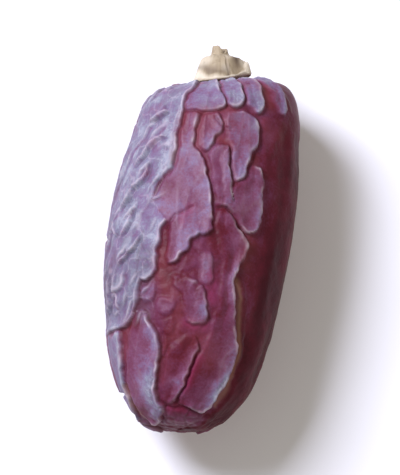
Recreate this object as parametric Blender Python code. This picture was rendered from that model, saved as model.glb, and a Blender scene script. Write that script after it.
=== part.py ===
"""A mabroom date, lying on its side with its calyx still on.

The fruit is one closed solid and the calyx another, 0.3 mm clear of it.
The long axis runs along Y with the calyx at +Y, and +Z is up.

The fruit's skin is a smooth form, turned from a profile, with relief laid on it by
formula: raised plates where the dried skin has puckered, the creases and folds
between them, and lengthwise wrinkles round the back.

A place on the skin is given as (s, angle): s in millimetres from the stalk end along
the axis, and the angle in degrees round it, from the top, positive towards +X.
"""
import bmesh
import bpy
import numpy as np

MM = 0.001

# The fruit's driving dimensions, in millimetres
BODY_LENGTH = 47.2
HALF_WIDTH = 12.2
HALF_THICKNESS = 11.3
WIDEST_AT = 18.0
STALK_END_POWER = 0.152
TIP_POWER = 0.355
WAIST, WAIST_AT, WAIST_LENGTH = 0.035, 8.5, 4.0
STALK_X, STALK_Y = 0.75, 21.1
FLAT_DEPTH = 0.45

# The gentle bend of the centre line: (s, x) stations, in millimetres
CENTRE_STATIONS = [
    (0, -0.25), (8, 0.3), (18, -0.5), (28, -1.0), (36, -1.05), (41, -1.25), (47, -1.6)]

# The stalk end leans to one side and slants down towards the top face
LONG_SKEW, LONG_SKEW_FADE = 0.09, 9.0
SHORT_SKEW, SHORT_SLANT, SHORT_FADE = 0.1, 0.19, 3.5

# The dish that the calyx sits in
DISH_DEPTH = 0.45
DISH_RADIUS = 5.6
RELIEF_FROM_RADIUS = (4.3, 5.6)

# The relief, in millimetres. Each plate is steep and curled up on its right and lower
# sides, as (along, across) on the chart of the skin, and soft on the others.
PLATE_HEIGHT = 0.4
PLATE_GROWTH = 0.7
VALLEY_DEPTH = 0.2
STEEP_SIDE = np.array([0.45, 0.89])
STEEP_TURN = 0.6
SOFT_EDGE, STEEP_EDGE = 0.6, 0.34
EDGE_START = -0.5
SAG, SAG_FROM, SAG_TO = 0.3, 0.2, 1.9
CURL_HEIGHT, CURL_WIDTH = 0.24, 1.1
CREASE_WIDTH = 0.3
FOLD_RIDGE, FOLD_LENGTH, FOLD_DROP = 0.34, 0.9, 0.3
FOLD_CREASE, FOLD_CREASE_AT, FOLD_CREASE_WIDTH = 0.16, 0.36, 0.25
FOLD_FADE = 0.15
HEALED_WIDTH, HEALED_CREASE = 0.9, 1.5
RIM_OF_CAP = 0.004

# Slow waves and bends laid over all of the relief: height or shift, then length
LONG_WAVE, SHORT_WAVE = (0.14, 5.5), (0.07, 1.9)
OUTLINE_BEND = (0.25, 1.7)

# Outlines of the raised plates on the top face: height over the usual, then (s, angle)
PLATES = {
    "stalk lobe 1": (1, [
        (RIM_OF_CAP, -22), (1.2, -20), (2.4, -23.5), (3.8, -24.5), (5, -24), (5.6, -21.5),
        (5.6, -14), (5.8, -6), (5.5, -1), (4.8, 2), (3.6, 1), (2.2, -1.5), (RIM_OF_CAP, -3)]),
    "stalk lobe 2": (1, [
        (RIM_OF_CAP, 1), (1.6, 2.2), (3.2, 3.8), (4.4, 5.8), (5, 8), (4.8, 10.8), (4.1, 14),
        (3, 15), (1.8, 15), (RIM_OF_CAP, 14.5)]),
    "stalk lobe 3": (0.95, [
        (RIM_OF_CAP, 24), (2, 21.8), (3.5, 21), (4.8, 22.2), (5.5, 24.2), (5.4, 26.2),
        (4.7, 27.8), (3, 28.8), (1.5, 30), (RIM_OF_CAP, 31)]),
    "stalk lobe 4": (0.9, [
        (RIM_OF_CAP, 50), (2, 45.5), (3.3, 43.8), (4.5, 45.3), (5, 47.3), (4.7, 49),
        (3.5, 49.5), (1.5, 51), (RIM_OF_CAP, 54)]),
    "left flank": (1, [
        (RIM_OF_CAP, -30), (1.5, -24.5), (3, -27.5), (5, -28.5), (8, -29.5), (11, -28.5),
        (12.8, -27), (13.8, -26), (14.6, -28), (15.3, -31.5), (16.2, -34), (17.6, -34.5),
        (18.6, -37), (19.4, -38), (20.2, -35), (20.8, -30), (21.4, -27.8), (22.4, -28.5),
        (23.6, -27.5), (24.6, -27.3), (25.6, -28.5), (26.6, -28), (28, -28), (28.7, -31),
        (28.7, -36), (28.6, -38.5), (29.5, -40), (30.6, -41), (32, -42.5), (33, -45),
        (34, -48), (34.6, -52.5), (34.9, -60), (35.2, -75), (35.3, -98), (20, -98), (3, -98),
        (RIM_OF_CAP, -70)]),
    "centre band": (1, [
        (6.5, -22.3), (6.5, -17.5), (8, -17.5), (10, -17.3), (11.4, -16), (12.6, -11),
        (13.5, -7.5), (14.9, -5), (16.2, -2), (17.5, -0.5), (18.8, 1), (20.2, 2.8),
        (21.8, 3.4), (22.8, 4.6), (22.9, 1.5), (22.7, -1.5), (23.1, -4.5), (23.5, -9),
        (25, -9), (25.5, -12.5), (26.6, -15), (26.8, -17.3), (25.8, -17.3), (24.6, -15.5),
        (23.2, -16.3), (22.4, -17.5), (21.6, -18.5), (20.9, -22), (20.2, -25.5), (19.6, -31),
        (18.4, -30.5), (16.8, -27.8), (15.4, -24.5), (14.4, -20.5), (13.2, -18.8),
        (11.5, -21.3), (9.5, -22.8), (8, -23.2)]),
    "small red plate": (0.8, [
        (7, -11.3), (6.9, -4), (7.5, -1), (8.3, 1), (9, 0), (9.8, -2.3), (10.8, -3.3),
        (11.3, -6), (11.2, -9), (10, -11.3), (8.5, -12)]),
    "upper tongue": (0.95, [
        (6.6, 8), (6.3, 13), (6.5, 18.5), (7.1, 22.5), (8, 24.8), (9, 25.2), (10, 24),
        (11, 22), (12, 20.8), (13.4, 20.3), (14.5, 19.9), (15.2, 18.4), (15.1, 16.3),
        (14.2, 14.8), (13, 13.3), (11.8, 12.2), (10.5, 11.5), (9.6, 11), (8.8, 10), (7.8, 6)]),
    "lower tongue": (1, [
        (12, -2), (11.6, 3), (11.8, 8.3), (13.5, 9), (15, 10.5), (16.5, 11.8), (17.8, 15),
        (18.3, 18), (17.6, 19), (16.6, 17.8), (16.1, 20.5), (15.2, 23.8), (14.2, 26),
        (13.8, 29), (14.6, 31), (16, 32.3), (18, 33.3), (20, 34.3), (21.2, 34.3), (21.8, 31),
        (21.5, 28), (20.8, 24.3), (19.9, 20.5), (19.1, 17.5), (18.7, 14), (18.7, 10),
        (17.8, 7.8), (16.6, 6.3), (15, 3.8), (13.4, 1)]),
    "upper right plate": (0.45, [
        (7, 34), (6.9, 42), (7.2, 50), (8.2, 50), (9, 45), (9.8, 41), (11, 41.5), (11.6, 37.5),
        (10, 34.5), (8.3, 33.5)]),
    "long ridge": (1, [
        (19.9, 10.5), (19.9, 13), (20.7, 16.5), (21.8, 18.5), (22.4, 22.5), (23, 26),
        (24, 28.8), (24.9, 29.3), (25.8, 28.2), (26.8, 26.2), (27.8, 24.8), (28.8, 24.3),
        (30.2, 25.8), (31.6, 27), (33, 28.5), (34.5, 31), (36, 34.5), (37.5, 37), (39, 38.8),
        (41, 39.8), (42.5, 39), (43.6, 37), (44.6, 33.5), (45.2, 27), (45, 18), (44.8, 8),
        (44.5, 2), (43.7, 3.5), (42.6, 6.5), (41.2, 9.5), (39.8, 11), (38.4, 13), (37, 15),
        (35.4, 18), (33.5, 20), (31, 20), (29, 20.3), (27, 20), (25.2, 19.5), (23.8, 16.5),
        (22.8, 13.5), (21.6, 11.5)]),
    "rib beside the long ridge": (0.45, [
        (28.5, 28.5), (31.5, 33), (34.5, 37.5), (37.5, 42.5), (41, 44.5), (44.5, 44.5),
        (44.3, 46), (41, 46.5), (37.5, 44.5), (34.5, 39.5), (31.5, 35), (28.5, 30)]),
    "middle plate 1": (0.6, [
        (26.2, 4.8), (26.2, 7.6), (27.5, 8), (28.8, 7.6), (28.9, 5.6), (27.5, 4.8)]),
    "middle plate 2": (0.8, [
        (29.3, -13), (29.2, -9), (29.6, -3), (30.1, 1), (30.1, 4.5), (31.5, 5.5), (33, 7.3),
        (33.8, 9.5), (34.3, 9), (34.6, 5), (34.5, 1.5), (33.6, -1.5), (32, -2.5), (30.9, -4.5),
        (30.1, -9)]),
    "middle bead 1": (0.62, [
        (32.3, -22.5), (32, -18), (32.3, -14.8), (33, -14.8), (33.4, -18), (33.2, -22)]),
    "middle bead 2": (0.6, [
        (30.6, -35), (30.4, -30), (30.7, -28.5), (31.6, -28.8), (31.8, -32), (31.5, -35.5)]),
    "middle bead 3": (0.5, [
        (34.7, -17.5), (34.7, -14.5), (35.5, -13.8), (36, -15.5), (35.8, -18)]),
    "long lower plate": (1.05, [
        (33.6, -36.5), (34.2, -33.5), (35, -31.5), (36, -29.5), (37.2, -26.3), (38.4, -24),
        (39.3, -23.8), (40.2, -25), (41.2, -27.5), (42.3, -29.5), (43.3, -30), (44.4, -29),
        (45.4, -27.5), (46.1, -27), (46.6, -31), (46.6, -52), (46, -58), (45, -60), (43, -58),
        (41, -55), (38.8, -51.5), (36.6, -47), (34.8, -42.5), (34, -40)]),
    "left strip": (0.9, [
        (35.9, -63), (37, -62.5), (38.5, -63.5), (40, -66), (42, -70), (43.5, -73), (45, -77),
        (45.9, -83), (45.4, -100), (43, -108), (39, -104), (36.2, -98), (35.8, -82)]),
    "lower tongue of the tip": (0.8, [
        (37, 2), (37.5, 6.5), (38.8, 4.8), (40, 2.3), (41.2, 0.3), (42.4, -1.7), (43.4, -4),
        (44.2, -8), (44.6, -12), (44.2, -16), (43, -17.5), (42, -17), (40.5, -15), (39, -12),
        (38, -8), (37.2, -4)]),
    "crumpled tip": (0.55, [
        (45.9, -30), (45.8, 0), (45.8, 25), (46.1, 40), (46.9, 40), (46.9, -30)]),
}

# Sharp creases: depth, then (s, angle)
CREASES = [
    (0.35, [(11.6, 10.3), (13.4, 11), (15, 12.8), (16.5, 14), (17.6, 16.5), (18.1, 18)]),
    (0.3, [(7.3, -2.5), (8, 0.5), (8.5, 4), (8.8, 9.5)]),
    (0.2, [(9.4, 2), (10.2, 0.8), (10.9, -0.5)]),
    (0.3, [(19.6, -8.5), (20.3, -12.5), (21, -17), (21.8, -20.5), (22.6, -21.5)]),
    (0.25, [(5.2, 18.5), (6.4, 22), (7, 26.5), (8.2, 28.8), (9.6, 28), (11, 26), (12.5, 26)]),
    (0.35, [(19.3, 8.5), (19.2, 12.5), (20, 17), (20.9, 18.7), (21.6, 22), (22.1, 26),
           (22.5, 29.5)]),
    (0.2, [(34.9, -1), (35.2, 4), (34.8, 9), (34, 13)]),
    (0.3, [(38.8, 8.5), (39.8, 7), (41.2, 4.5), (42.8, 1.2), (44, -2.5), (44.8, -7)]),
    (0.2, [(36.5, -20), (38, -20), (39.5, -21), (41, -25), (42.5, -28.5), (44.4, -29.5)]),
    (0.2, [(38, -15), (39.5, -17), (41, -19.5), (42.5, -21)]),
    (0.3, [(45.3, -25), (45.5, -10), (45.3, 5), (45.5, 18), (45.8, 30)]),
    (0.2, [(35, 46), (38, 48.5), (41, 49.5), (43, 51)]),
    (0.25, [(22.9, -38.5), (23.8, -38.2), (24.8, -38), (25.5, -36)]),
    (0.35, [(25.5, -38.5), (26.3, -40.3), (27.5, -41), (28.8, -40.8)]),
    (0.2, [(25.7, -36), (25.9, -32), (26.3, -29)]),
    (0.2, [(26.8, -38.5), (27.1, -34), (26.9, -30)]),
    (0.15, [(27.8, -38), (28, -34), (27.9, -31)]),
    (0.15, [(29.4, -37), (29.6, -33), (29.4, -28)]),
    (0.2, [(24.3, -6), (25.3, -2), (26, 3)]),
]

# Folds of the left flank: each rises slowly to its line and drops off beyond it
FOLDS = [
    [(5.9, -38), (6.3, -43), (6.9, -48.5), (7.3, -53)],
    [(9.8, -32), (9.9, -38), (10.3, -42.5), (10.9, -45), (11.6, -48), (12.2, -51),
     (13.2, -55.5), (13.9, -59)],
    [(13.2, -42), (14.6, -42), (15.5, -43), (16.2, -46), (16.8, -50), (17.3, -53)],
    [(17, -52), (18.2, -54), (19, -57.5), (19.6, -61)],
    [(19.6, -46.5), (20.6, -48.5), (21.6, -51), (22.4, -54), (23.3, -58.5)],
    [(23.2, -62), (22, -67), (20.5, -70)],
    [(23.3, -40.5), (24.2, -41), (25, -43.5), (25.6, -47), (26, -51.5), (26.6, -57),
     (27.5, -61)],
    [(33, -60), (30.5, -63), (28, -64)],
    [(28, -73), (31, -73.5), (33.3, -75)],
]

# Here two plates have stayed joined, with no crease between them
JOINED = [
    [(20, -34), (20.4, -27), (20.9, -23.5)],
]

# Slanted folds all over the left flank, each rising slowly and dropping off sharply
SHINGLE_DEPTH, SHINGLE_SPACING = 0.3, 2.4
SHINGLE_ACROSS = np.array([0.62, 0.78])
SHINGLE_DROP, SHINGLE_LEVEL = (0.78, 1.0), 0.45
SHINGLE_BEND = (0.9, 2.6)
SHINGLE_COMES, SHINGLE_LENGTH = (-0.5, 0.4), 2.2
SHINGLE_ANGLES, SHINGLE_END = (24.0, 34.0), (33.0, 36.0)

# The smooth right flank, with long shallow folds
RIGHT_FLANK, RIGHT_BACK = (42.0, 56.0), (104.0, 126.0)
RIGHT_START = (6.0, 9.0)
LONG_FOLD, LONG_FOLD_WIDTH, LONG_FOLD_SINK = 0.26, 2.6, 0.05
LONG_FOLD_STRETCH = np.array([1.0, 0.16, 1.0])

# The wrinkled skin of the back and sides
LEFT_BACK = (74.0, 100.0)
BACK_CELLS = 120
BACK_CELL_STRETCH = 2.3
BACK_CELL_HEIGHTS = (0.25, 0.8)
BACK_WANDER, BACK_WANDER_LENGTH = np.array([0.9, 1.35, 0.9]), 3.1
BACK_SEED = 11
BACK_EDGE = (0.05, 0.75)
BACK_SINK = 0.34

# The relief fades out over this height above the flat spot
FLOOR_FADE = (0.1, 2.2)

# The calyx: an outer profile of (radius, height over the stalk end), in millimetres
CALYX_PROFILE = [
    (0.0, 3.55), (0.42, 3.6), (0.6, 4.0), (0.68, 4.6), (0.86, 4.86), (1.08, 4.7), (1.14, 4.1),
    (1.26, 3.6), (1.9, 3.42), (2.6, 3.1), (3.1, 2.3), (3.4, 1.4), (3.66, 0.6), (3.86, 0.15)]
CALYX_GAP = 0.32
CALYX_RIM_THICKNESS = 0.35
CALYX_LEAN = -0.09
CALYX_TOP_SLANT = 0.35
CALYX_TOP_SHARE = 0.72
CALYX_LOBES, CALYX_LOBE_PHASE, CALYX_LOBE_REACH, CALYX_FOLD = 3.0, 1.83, 0.045, 0.2
CALYX_SPREAD = (1.3, 3.8)
CALYX_POINTS, CALYX_POINT_PHASE, CALYX_POINT_REACH = 5.0, -1.1, 0.03

# Mesh sizes: segments round and rings along, and the fruit's triangles after thinning
FRUIT_SEGMENTS, FRUIT_RINGS, FRUIT_TRIANGLES = 224, 208, 11200
CALYX_SEGMENTS, CALYX_RINGS = 44, 40
FLAT_SNAP = 0.03


def smoothstep(low, high, x):
    """0 below low, 1 above high, and an S-curve between them."""
    t = np.clip((x - low) / (high - low), 0.0, 1.0)
    return t * t * (3.0 - 2.0 * t)


def bump_at(x, middle, width):
    """A bell curve of height 1 about the middle."""
    return np.exp(-((x - middle) / width) ** 2)


def radius_share(s):
    """The profile: two power curves that meet where the fruit is widest."""
    a = np.clip((WIDEST_AT - s) / WIDEST_AT, 0.0, 1.0)
    b = np.clip((s - WIDEST_AT) / (BODY_LENGTH - WIDEST_AT), 0.0, 1.0)
    waist = WAIST * bump_at(s, WAIST_AT, WAIST_LENGTH)
    stalk = (1.0 - a ** 2) ** STALK_END_POWER * (1.0 - waist)
    tip = (1.0 - b ** 2) ** TIP_POWER
    return np.where(s < WIDEST_AT, stalk, tip)


def profile_table():
    """s, radius share and distance along the skin, closer together where it turns fast."""
    t = np.linspace(0.0, 1.0, 4001)
    stalk = WIDEST_AT * t ** 16
    tip = BODY_LENGTH - (BODY_LENGTH - WIDEST_AT) * (1.0 - t) ** 5
    s = np.concatenate([stalk, tip[1:]])
    share = radius_share(s)
    share[0] = share[-1] = 0.0
    radius = share * (HALF_WIDTH + HALF_THICKNESS) / 2.0
    steps = np.hypot(np.diff(s), np.diff(radius))
    return s, share, np.concatenate([[0.0], np.cumsum(steps)])


TABLE_S, TABLE_SHARE, TABLE_ALONG = profile_table()
SKIN_LENGTH = TABLE_ALONG[-1]
CENTRE_LINE = np.polynomial.Polynomial.fit(*np.array(CENTRE_STATIONS, float).T, deg=5)
AXIS_Z = HALF_THICKNESS - FLAT_DEPTH


def dish(x, z):
    """The depth of the dish in the stalk end at a place off its centre."""
    return DISH_DEPTH * np.clip(1.0 - (np.hypot(x, z) / DISH_RADIUS) ** 2, 0.0, 1.0) ** 2


def smooth_form(along, angle):
    """The unwrinkled skin's x, y, z in millimetres at a distance along it and an angle."""
    s = np.interp(along, TABLE_ALONG, TABLE_S)
    share = np.interp(along, TABLE_ALONG, TABLE_SHARE)
    x = share * HALF_WIDTH * np.sin(angle)
    z = share * HALF_THICKNESS * np.cos(angle)
    skew = LONG_SKEW * x * bump_at(s, 0.0, LONG_SKEW_FADE)
    skew = skew + (SHORT_SKEW * x - SHORT_SLANT * z) * bump_at(s, 0.0, SHORT_FADE)
    y = STALK_Y - s + skew - dish(x, z) * (s < WIDEST_AT)
    return np.stack([STALK_X + x + CENTRE_LINE(s), y, z + AXIS_Z], axis=-1)


def outward(along, angle):
    """Unit normals of the smooth form, from small differences a little off the poles."""
    step_along, step_angle = 0.05, 0.004
    inner = np.clip(along, 2 * step_along, SKIN_LENGTH - 2 * step_along)
    d_along = smooth_form(inner + step_along, angle) - smooth_form(inner - step_along, angle)
    d_angle = smooth_form(inner, angle + step_angle) - smooth_form(inner, angle - step_angle)
    normal = np.cross(d_along, d_angle)
    return normal / np.linalg.norm(normal, axis=-1, keepdims=True)


def make_noise(seed, size=24):
    """A smooth random field: a seeded lattice, blended between its eight nearest values."""
    lattice = np.random.default_rng(seed).random((size, size, size))

    def field(points, scale):
        q = points / scale
        cell = np.floor(q).astype(int)
        f = q - cell
        f = f * f * (3.0 - 2.0 * f)
        total = 0.0
        for corner in np.ndindex(2, 2, 2):
            share = np.where(corner, f, 1.0 - f).prod(axis=-1)
            i, j, k = ((cell + corner) % size).T
            total = total + share * lattice[i, j, k]
        return 2.0 * total - 1.0

    return field


noise = make_noise(3)


def on_chart(places):
    """Flat chart coordinates of skin places: along the skin, and round it, in millimetres."""
    s, degrees = np.array(places, float).T
    along = np.interp(s, TABLE_S, TABLE_ALONG)
    share = np.interp(along, TABLE_ALONG, TABLE_SHARE)
    return np.stack([along, np.radians(degrees) * share * HALF_WIDTH], axis=-1)


def rounded(loop):
    """An outline with its corners cut: two points on each edge, a quarter in from its ends."""
    after = np.roll(loop, -1, axis=0)
    cut = np.stack([0.75 * loop + 0.25 * after, 0.25 * loop + 0.75 * after], axis=1)
    return cut.reshape(-1, 2)


def nearest_on_line(chart, line):
    """Distance to a line, its sign by the side, the share of the way along, and the offset."""
    best = np.full(len(chart), np.inf)
    side, way = np.ones((2, len(chart)))
    offset = np.zeros((len(chart), 2))
    for part, (start, end) in enumerate(zip(line[:-1], line[1:])):
        run = end - start
        away = chart - start
        t = np.clip(away @ run / (run @ run), 0.0, 1.0)
        gap = away - t[:, None] * run
        distance = np.hypot(*gap.T)
        closer = distance < best
        best = np.where(closer, distance, best)
        offset = np.where(closer[:, None], gap, offset)
        way = np.where(closer, (part + t) / (len(line) - 1), way)
        side = np.where(closer, np.sign(run[0] * away[:, 1] - run[1] * away[:, 0]), side)
    return best * side, way, offset


def inside_distance(chart, outline):
    """Distance to a closed outline, positive inside it, and the unit way out of it."""
    tiny = 1e-9
    loop = np.vstack([outline, outline[:1]])
    signed, _, offset = nearest_on_line(chart, loop)
    best = np.abs(signed)
    inside = np.zeros(len(chart), bool)
    for start, end in zip(loop[:-1], loop[1:]):
        spans = (start[0] > chart[:, 0]) != (end[0] > chart[:, 0])
        rise = end[0] - start[0] if end[0] != start[0] else tiny
        cross = start[1] + (chart[:, 0] - start[0]) / rise * (end[1] - start[1])
        inside ^= spans & (chart[:, 1] < cross)
    sign = np.where(inside, 1.0, -1.0)
    return best * sign, -offset * (sign / np.maximum(best, tiny))[:, None]


def nearest_plate(chart):
    """The height, edge distance and steepness of each place's plate.

    Plates grow until they meet, so the edge is the outline or the crease between two.
    """
    first = np.full(len(chart), -np.inf)
    second = np.full(len(chart), -np.inf)
    tall, facing = np.zeros((2, len(chart)))
    for height, outline in PLATES.values():
        distance, way_out = inside_distance(chart, rounded(on_chart(outline)))
        grown = distance + PLATE_GROWTH
        wins = grown > first
        second = np.where(wins, first, np.maximum(second, grown))
        first = np.where(wins, grown, first)
        tall = np.where(wins, height, tall)
        facing = np.where(wins, way_out @ STEEP_SIDE, facing)
    outline, crease = first, (first - second) / 2.0
    for line in JOINED:
        distance, _, _ = nearest_on_line(chart, on_chart(line))
        healed = bump_at(distance, 0.0, HEALED_WIDTH)
        outline, crease = outline + healed, crease + HEALED_CREASE * healed
    return tall, np.minimum(outline, crease), smoothstep(-STEEP_TURN, STEEP_TURN, facing)


def top_relief(chart):
    """The plates, creases and folds of the top face, in millimetres out from the form."""
    tall, edge, steep = nearest_plate(chart)
    width = SOFT_EDGE + (STEEP_EDGE - SOFT_EDGE) * steep
    rise = smoothstep(EDGE_START, 1.0, edge / width)
    sag = 1.0 - SAG * smoothstep(SAG_FROM, SAG_TO, edge)
    curl = CURL_HEIGHT * (bump_at(np.maximum(edge, SAG_FROM), SAG_FROM, CURL_WIDTH) * steep - SAG)
    total = tall * rise * (PLATE_HEIGHT * sag + curl) - VALLEY_DEPTH
    for depth, line in CREASES:
        distance, _, _ = nearest_on_line(chart, on_chart(line))
        total = total - depth * bump_at(distance, 0.0, CREASE_WIDTH)
    for line in FOLDS:
        past, way, _ = nearest_on_line(chart, on_chart(line))
        fade = smoothstep(0.0, FOLD_FADE, way) * smoothstep(0.0, FOLD_FADE, 1.0 - way)
        ridge = np.exp(np.minimum(past, 0.0) / FOLD_LENGTH) * (1.0 - smoothstep(0.0, FOLD_DROP, past))
        groove = bump_at(past, FOLD_CREASE_AT, FOLD_CREASE_WIDTH)
        total = total + (FOLD_RIDGE * ridge - FOLD_CREASE * groove) * fade
    return total


def left_shingles(chart, points, degrees, s):
    """The slanted folds of the left flank, which come and go over its length."""
    shift, length = SHINGLE_BEND
    phase = (chart @ SHINGLE_ACROSS + shift * noise(points + 30.0, length)) / SHINGLE_SPACING
    rising = phase - np.floor(phase)
    fold = rising * (1.0 - smoothstep(*SHINGLE_DROP, rising)) - SHINGLE_LEVEL
    there = smoothstep(*SHINGLE_ANGLES, -degrees) * (1.0 - smoothstep(*SHINGLE_END, s))
    come_and_go = smoothstep(*SHINGLE_COMES, noise(points + 80.0, SHINGLE_LENGTH))
    return SHINGLE_DEPTH * fold * there * come_and_go


def back_relief(points):
    """Wrinkles round the back: stretched cells, raised by their own heights, creases between."""
    rng = np.random.default_rng(BACK_SEED)
    cell_along = rng.uniform(1.0, SKIN_LENGTH - 1.0, BACK_CELLS)
    cell_angle = rng.uniform(-np.pi, np.pi, BACK_CELLS)
    cell_height = rng.uniform(*BACK_CELL_HEIGHTS, BACK_CELLS)
    centres = smooth_form(cell_along, cell_angle)
    squash = np.array([1.0, 1.0 / BACK_CELL_STRETCH, 1.0])
    bends = [noise(points + shift, BACK_WANDER_LENGTH) for shift in (0.0, 20.0, 50.0)]
    wander = BACK_WANDER * np.stack(bends, axis=-1)
    nearest = np.full(len(points), np.inf)
    second = np.full(len(points), np.inf)
    height = np.zeros(len(points))
    for centre, tall in zip(centres, cell_height):
        distance = np.linalg.norm((points + wander - centre) * squash, axis=-1)
        closer = distance < nearest
        second = np.where(closer, nearest, np.minimum(second, distance))
        height = np.where(closer, tall, height)
        nearest = np.where(closer, distance, nearest)
    return height * smoothstep(*BACK_EDGE, second - nearest) - BACK_SINK


def relief(along, angle, points):
    """All the relief on the skin, faded out under the calyx and at the flat spot."""
    degrees = np.degrees(angle)
    s = np.interp(along, TABLE_ALONG, TABLE_S)
    share = np.interp(along, TABLE_ALONG, TABLE_SHARE)
    chart = np.stack([along, angle * share * HALF_WIDTH], axis=-1)
    shift, length = OUTLINE_BEND
    bend = np.stack([noise(points, length), noise(points + 40.0, length)], axis=-1)
    total = top_relief(chart + shift * bend) + left_shingles(chart, points, degrees, s)
    right = smoothstep(*RIGHT_FLANK, degrees) * (1.0 - smoothstep(*RIGHT_BACK, degrees))
    right = right * smoothstep(*RIGHT_START, s)
    lengthwise = points * LONG_FOLD_STRETCH + 11.0
    long_folds = LONG_FOLD * noise(lengthwise, LONG_FOLD_WIDTH) - LONG_FOLD_SINK
    total = total + (long_folds - total) * right
    back = np.maximum(smoothstep(*LEFT_BACK, -degrees), smoothstep(*RIGHT_BACK, degrees))
    total = total + (back_relief(points) - total) * back
    for (height, wave), start in ((LONG_WAVE, 0.0), (SHORT_WAVE, 7.0)):
        total = total + height * noise(points + start, wave)
    radius = np.hypot(points[:, 0] - STALK_X, points[:, 2] - AXIS_Z)
    off_calyx = np.where(along < SKIN_LENGTH / 2, smoothstep(*RELIEF_FROM_RADIUS, radius), 1.0)
    return total * off_calyx * smoothstep(*FLOOR_FADE, points[:, 2])


def material(name, colour, roughness):
    """A Principled material in the piece's own colour."""
    made = bpy.data.materials.new(name)
    made.use_nodes = True
    shader = made.node_tree.nodes["Principled BSDF"]
    shader.inputs["Base Color"].default_value = (*colour, 1.0)
    shader.inputs["Roughness"].default_value = roughness
    shader.inputs["Metallic"].default_value = 0.0
    return made


def sphere_object(name, segments, rings, collection):
    """A unit UV sphere with its poles on its own Z, as a new object of the collection."""
    mesh = bpy.data.meshes.new(name)
    work = bmesh.new()
    bmesh.ops.create_uvsphere(work, u_segments=segments, v_segments=rings, radius=1.0)
    work.to_mesh(mesh)
    work.free()
    made = bpy.data.objects.new(name, mesh)
    collection.objects.link(made)
    return made


def read_points(mesh):
    """A mesh's vertices as an array."""
    flat = np.empty(len(mesh.vertices) * 3)
    mesh.vertices.foreach_get("co", flat)
    return flat.reshape(-1, 3)


def sphere_places(mesh):
    """Each vertex's share of the way from pole to pole, and its angle round the axis."""
    unit = read_points(mesh)
    way = np.arccos(np.clip(unit[:, 2], -1.0, 1.0)) / np.pi
    return way, np.arctan2(unit[:, 0], unit[:, 1])


def set_points(mesh, points):
    """Move a mesh's vertices to points in millimetres, in triangles that face outwards."""
    mesh.vertices.foreach_set("co", (points * MM).ravel())
    work = bmesh.new()
    work.from_mesh(mesh)
    bmesh.ops.recalc_face_normals(work, faces=work.faces)
    bmesh.ops.triangulate(work, faces=work.faces)
    work.to_mesh(mesh)
    work.free()
    mesh.update()


def keep_evaluated(made):
    """Apply an object's modifiers to its mesh."""
    graph = bpy.context.evaluated_depsgraph_get()
    mesh = bpy.data.meshes.new_from_object(made.evaluated_get(graph))
    made.modifiers.clear()
    made.data = mesh
    return mesh


def make_fruit(collection):
    """The fruit: a dense sphere shaped by the formulas, thinned where it is smooth."""
    made = sphere_object("fruit", FRUIT_SEGMENTS, FRUIT_RINGS, collection)
    way, angle = sphere_places(made.data)
    along = way * SKIN_LENGTH
    form = smooth_form(along, angle)
    points = form + outward(along, angle) * relief(along, angle, form)[:, None]
    points[:, 2] = np.maximum(points[:, 2], 0.0)
    set_points(made.data, points)
    thin = made.modifiers.new("Thin", "DECIMATE")
    thin.ratio = FRUIT_TRIANGLES / len(made.data.polygons)
    mesh = keep_evaluated(made)
    kept = read_points(mesh)
    kept[:, 2] = np.where(kept[:, 2] < FLAT_SNAP * MM, 0.0, kept[:, 2])
    mesh.vertices.foreach_set("co", kept.ravel())
    mesh.materials.append(material("date skin", (0.19, 0.075, 0.105), 0.42))
    mesh.shade_smooth()


def skin_plane(x, z):
    """How far the slanted plane of the stalk end lies beyond its centre."""
    return (LONG_SKEW + SHORT_SKEW) * x - SHORT_SLANT * z


def make_calyx(collection):
    """The calyx: a low dome of three lobes with a hollow stub, over the dished stalk end."""
    made = sphere_object("calyx", CALYX_SEGMENTS, CALYX_RINGS, collection)
    way, angle = sphere_places(made.data)
    outer = np.array(CALYX_PROFILE)
    steps = np.hypot(*np.diff(outer, axis=0).T)
    along = np.concatenate([[0.0], np.cumsum(steps)]) / steps.sum()
    on_top = np.clip(way / CALYX_TOP_SHARE, 0.0, 1.0)
    under = np.clip((1.0 - way) / (1.0 - CALYX_TOP_SHARE), 0.0, 1.0)
    top_side = way <= CALYX_TOP_SHARE
    radius = np.where(top_side, np.interp(on_top, along, outer[:, 0]), outer[-1, 0] * under)
    height = np.interp(on_top, along, outer[:, 1])
    spread = smoothstep(*CALYX_SPREAD, radius)
    lobe = np.cos(CALYX_LOBES * angle + CALYX_LOBE_PHASE)
    point = np.cos(CALYX_POINTS * angle + CALYX_POINT_PHASE)
    radius = radius * (1.0 + (CALYX_LOBE_REACH * lobe + CALYX_POINT_REACH * point) * spread)
    x = radius * np.sin(angle)
    z = radius * np.cos(angle)
    slant = CALYX_TOP_SLANT + (1.0 - CALYX_TOP_SLANT) * spread
    top = np.maximum(height + CALYX_FOLD * lobe * spread, 0.0) + skin_plane(x, z) * slant
    floor = skin_plane(x, z) - dish(x, z) + CALYX_GAP
    top = np.maximum(top, floor + CALYX_RIM_THICKNESS)
    y = STALK_Y + np.where(top_side, top, floor)
    x = STALK_X + x + CALYX_LEAN * height
    set_points(made.data, np.stack([x, y, z + AXIS_Z], axis=-1))
    made.data.materials.append(material("dry calyx", (0.68, 0.56, 0.44), 0.75))
    made.data.shade_smooth()


def main():
    for old in list(bpy.data.objects):
        bpy.data.objects.remove(old)
    collection = bpy.data.collections.new("mabroom date")
    bpy.context.scene.collection.children.link(collection)
    make_fruit(collection)
    make_calyx(collection)


main()
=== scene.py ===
# %% [markdown]
# A mabroom date, seen from above
#
# This lesson dresses one dried date. Its solids already exist as the frame: a fruit and a
# calyx, made from a few formulas. Here both get a much finer surface and the finish of the
# real thing: a red-brown skin that has puckered into plates, dusted with a lilac bloom.
# Both are worked out with numpy, so each shape is a formula or an outline that can be read.

import math

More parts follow.
